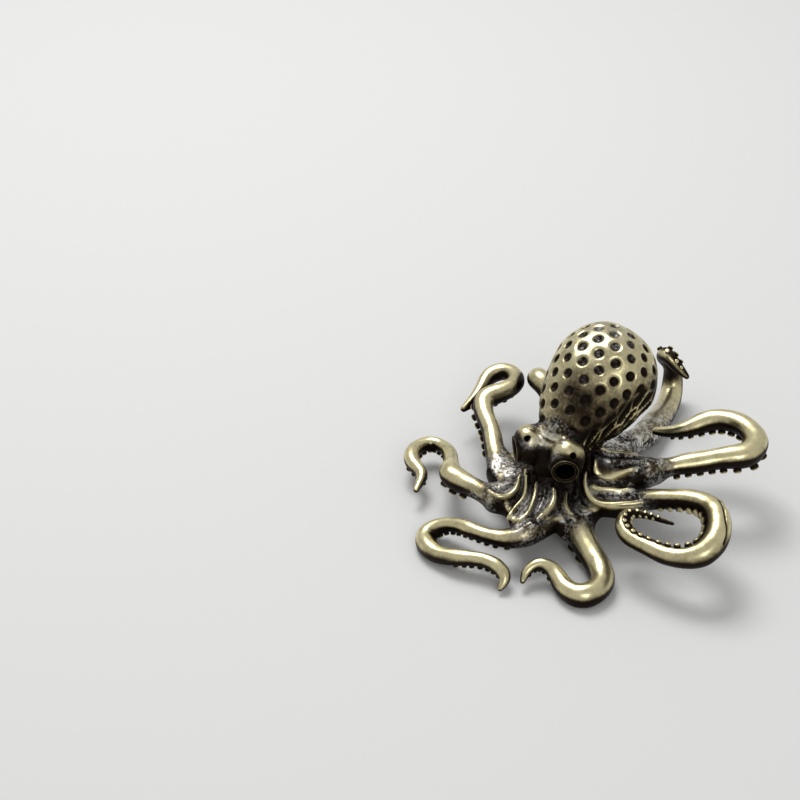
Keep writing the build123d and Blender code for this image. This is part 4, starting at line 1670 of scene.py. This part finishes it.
class ShaderGraph:
    """The node tree of one material."""

    MIX_FIRST, MIX_SECOND, MIX_RESULT = 6, 7, 2  # colour sockets of a mix node, which share their names

    def __init__(self, name: str) -> None:
        """Starts an empty material.

        Args:
            name: Name of the material.
        """
        self.material = bpy.data.materials.new(name)
        self.material.use_nodes = True
        self.tree = self.material.node_tree
        self.tree.nodes.clear()

    def node(
        self,
        kind: str,
        settings: dict[str, object] | None = None,
        values: dict[str | int, object] | None = None,
    ) -> bpy.types.Node:
        """Adds a node.

        Args:
            kind: Type of the node.
            settings: Properties that are set first.
            values: Numbers, colours or wires by input name or number.

        Returns:
            The node.
        """
        made = self.tree.nodes.new(kind)
        for name, value in (settings or {}).items():
            setattr(made, name, value)
        for name, value in (values or {}).items():
            if isinstance(value, Wire):
                self.tree.links.new(value.socket, made.inputs[name])
            else:
                made.inputs[name].default_value = value
        return made

    def attribute(self, name: str) -> Wire:
        """Reads a number that the mesh carries at its points, by its name."""
        return Wire(self, self.node("ShaderNodeAttribute", {"attribute_name": name}).outputs["Fac"])

    def noise(self, size: float, detail: float, roughness: float) -> Wire:
        """Adds noise in the object's own space.

        Args:
            size: Length of its largest bumps in millimetres.
            detail: How many finer layers it has.
            roughness: How strong the finer layers are.

        Returns:
            Wire of its number.
        """
        place = Wire(self, self.node("ShaderNodeTexCoord").outputs["Object"])
        scale = 1 / (size * METRES)
        values = {"Vector": place, "Scale": scale, "Detail": detail, "Roughness": roughness}
        return Wire(self, self.node("ShaderNodeTexNoise", None, values).outputs[0])

    def mixed(self, first: Wire | Colour, second: Wire | Colour, share: Wire | float) -> Wire:
        """Mixes two colours: the first where the share is 0, the second where it is 1."""
        values = {"Factor": share, self.MIX_FIRST: first, self.MIX_SECOND: second}
        return Wire(self, self.node("ShaderNodeMix", {"data_type": "RGBA"}, values).outputs[self.MIX_RESULT])

    def bump(self, height: Wire, strength: float, distance: float) -> Wire:
        """Turns heights into a normal, where the distance is one unit of height in millimetres."""
        values = {"Height": height, "Strength": strength, "Distance": distance * METRES}
        return Wire(self, self.node("ShaderNodeBump", None, values).outputs[0])

    def surface(self, values: dict[str | int, object]) -> bpy.types.Material:
        """Ends the graph in a principled shader.

        Args:
            values: Its inputs.

        Returns:
            The material.
        """
        shader = self.node("ShaderNodeBsdfPrincipled", None, values)
        self.node("ShaderNodeOutputMaterial", None, {"Surface": Wire(self, shader.outputs[0])})
        return self.material


@dataclass(frozen=True)
class BrassFinish:
    """Antiqued brass: polished where it is touched, dark in the recesses and where shade is painted,
    rubbed silvery on the web.
    """

    name: str = "antiqued_brass"
    gold: Colour = (0.84, 0.76, 0.45, 1.0)
    straw: Colour = (0.26, 0.19, 0.09, 1.0)
    # the tarnish colour, which is also painted where shade falls
    patina_and_shade: Colour = (0.016, 0.011, 0.008, 1.0)
    silver: Colour = (0.80, 0.78, 0.74, 1.0)
    cloud_size: float = 2.4
    cloud_detail: float = 4.0
    cloud_roughness: float = 0.6
    cloud_share: float = 0.6
    grain_size: float = 0.5
    grain_detail: float = 5.0
    grain_roughness: float = 0.7
    grain_share: float = 0.4
    noise_middle: float = 0.5
    worn: Span = (0.2, 1.12)
    speckle: Span = (0.42, 0.64)
    roughness: Span = (0.5, 0.3)  # where dark, and where polished
    bump_strength: float = 0.3
    bump_height: float = 0.05
    silver_bump: float = 2.5

    def build(self) -> bpy.types.Material:
        """Makes the material.

        Returns:
            The material.
        """
        graph = ShaderGraph(self.name)
        polish, silver = graph.attribute("polish"), graph.attribute("silver")
        cloudy = graph.noise(self.cloud_size, self.cloud_detail, self.cloud_roughness)
        grain = graph.noise(self.grain_size, self.grain_detail, self.grain_roughness)
        clouds = (cloudy - self.noise_middle) * self.cloud_share
        grains = (grain - self.noise_middle) * self.grain_share
        # tone follows polish, so it carries painted shade and a painted highlight along with polished brass
        # and tarnish
        worn = (polish + clouds + grains).between(*self.worn)
        gold = graph.mixed(self.straw, self.gold, worn)
        metal = graph.mixed(self.patina_and_shade, gold, worn)
        speckle = (grain + clouds).between(*self.speckle) * silver
        shiny = (worn + speckle).between(0.0, 1.0)
        relief = grain * (silver * self.silver_bump + 1.0)
        return graph.surface(
            {
                "Base Color": graph.mixed(metal, self.silver, speckle),
                "Metallic": 1.0,
                "Roughness": shiny.between(0.0, 1.0, *self.roughness),
                "Normal": graph.bump(relief, self.bump_strength, self.bump_height),
            }
        )


@dataclass(frozen=True)
class FloorFinish:
    """Plain pale paper."""

    name: str = "pale_floor"
    colour: Colour = (0.72, 0.72, 0.71, 1.0)
    roughness: float = 0.7

    def build(self) -> bpy.types.Material:
        """Makes the material."""
        values = {"Base Color": self.colour, "Roughness": self.roughness}
        return ShaderGraph(self.name).surface(values)


def placed_object(
    name: str, data: bpy.types.Light | bpy.types.Camera, place: Place, aim: Vector
) -> bpy.types.Object:
    """Makes a lamp's or camera's object.

    Args:
        name: Name of the object.
        data: What it holds.
        place: Where it stands, in metres.
        aim: Direction that it looks in.

    Returns:
        The object.
    """
    thing = bpy.data.objects.new(name, data)
    turned = aim.to_track_quat("-Z", "Y").to_matrix().to_4x4()
    thing.matrix_world = Matrix.Translation(Vector(place)) @ turned
    bpy.context.scene.collection.objects.link(thing)
    return thing


@dataclass(frozen=True)
class Lamp:
    """A soft square lamp that points at the figurine. Lengths are metres, and the power is watts."""

    name: str
    place: Place
    side: float
    power: float
    aim: Place = (0.0, 0.0, 0.01)

    def build(self) -> bpy.types.Object:
        """Hangs the lamp.

        Returns:
            The lamp's object.
        """
        light = bpy.data.lights.new(self.name, "AREA")
        light.shape = "SQUARE"
        light.size = self.side
        light.energy = self.power
        return placed_object(self.name, light, self.place, Vector(self.aim) - Vector(self.place))


@dataclass(frozen=True)
class Studio:
    """Plain pale floor, soft light and the photo's point of view. Places are metres."""

    paper: FloorFinish = FloorFinish()
    floor_side: float = 1.6
    world_colour: Colour = (1.0, 1.0, 1.0, 1.0)
    world_level: float = 0.5
    lamps: tuple[Lamp, ...] = (
        Lamp("key", (-0.22, 0.10, 0.42), side=0.24, power=1.35),
        Lamp("fill", (0.35, -0.30, 0.30), side=0.2, power=0.4),
    )
    camera_place: Place = (0.132985, -0.215007, 0.183010)
    camera_turn: float = 38.7
    camera_tilt: float = 33.465
    lens: float = 89.8
    sensor: float = 36.0
    clip_start: float = 0.01

    def floor(self) -> bpy.types.Object:
        """Lays the floor.

        Returns:
            The floor's object.
        """
        half = self.floor_side / 2 / METRES
        corners = np.array([(-half, -half, 0), (half, -half, 0), (half, half, 0), (-half, half, 0)])
        floor = mesh_object("floor", corners, np.array([(0, 1, 2, 3)]))
        floor.data.materials.append(self.paper.build())
        return floor

    def world(self) -> None:
        """Sets the light from all round."""
        world = bpy.data.worlds.new("studio")
        world.use_nodes = True
        background = world.node_tree.nodes["Background"]
        background.inputs["Color"].default_value = self.world_colour
        background.inputs["Strength"].default_value = self.world_level
        bpy.context.scene.world = world

    def camera(self) -> None:
        """Places the camera where the photo was taken from."""
        data = bpy.data.cameras.new("camera")
        data.lens = self.lens
        data.sensor_width = self.sensor
        data.clip_start = self.clip_start
        aim = Vector(-facing_way(self.camera_turn, self.camera_tilt))
        bpy.context.scene.camera = placed_object("camera", data, self.camera_place, aim)

    def build(self) -> None:
        """Sets up the floor, lights, camera and view."""
        self.floor()
        self.world()
        for lamp in self.lamps:
            lamp.build()
        self.camera()
        bpy.context.scene.view_settings.view_transform = "Standard"


@dataclass(frozen=True)
class Figurine:
    """The octopus with all its pieces."""

    casting: Casting
    brass: BrassFinish = BrassFinish()

    def build(self) -> dict[str, bpy.types.Object]:
        """Makes every piece.

        Returns:
            The objects by name.
        """
        finish = self.brass.build()
        things = [self.casting.build(finish)]
        things += [EyeRing(side).build(self.casting.head, finish) for side in Side]
        things += [Suckers(arm).build(finish) for arm in ARMS]
        return {thing.name: thing for thing in things}


def main() -> None:
    """Builds the figurine and its studio and reports the pieces."""
    logging.basicConfig(level=logging.INFO)
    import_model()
    figurine = Figurine(Casting(FINE_CELL))
    for name, thing in figurine.build().items():
        LOG.info("%s: %d faces", name, len(thing.data.polygons))
    Studio().build()


if __name__ == "__main__":
    main()
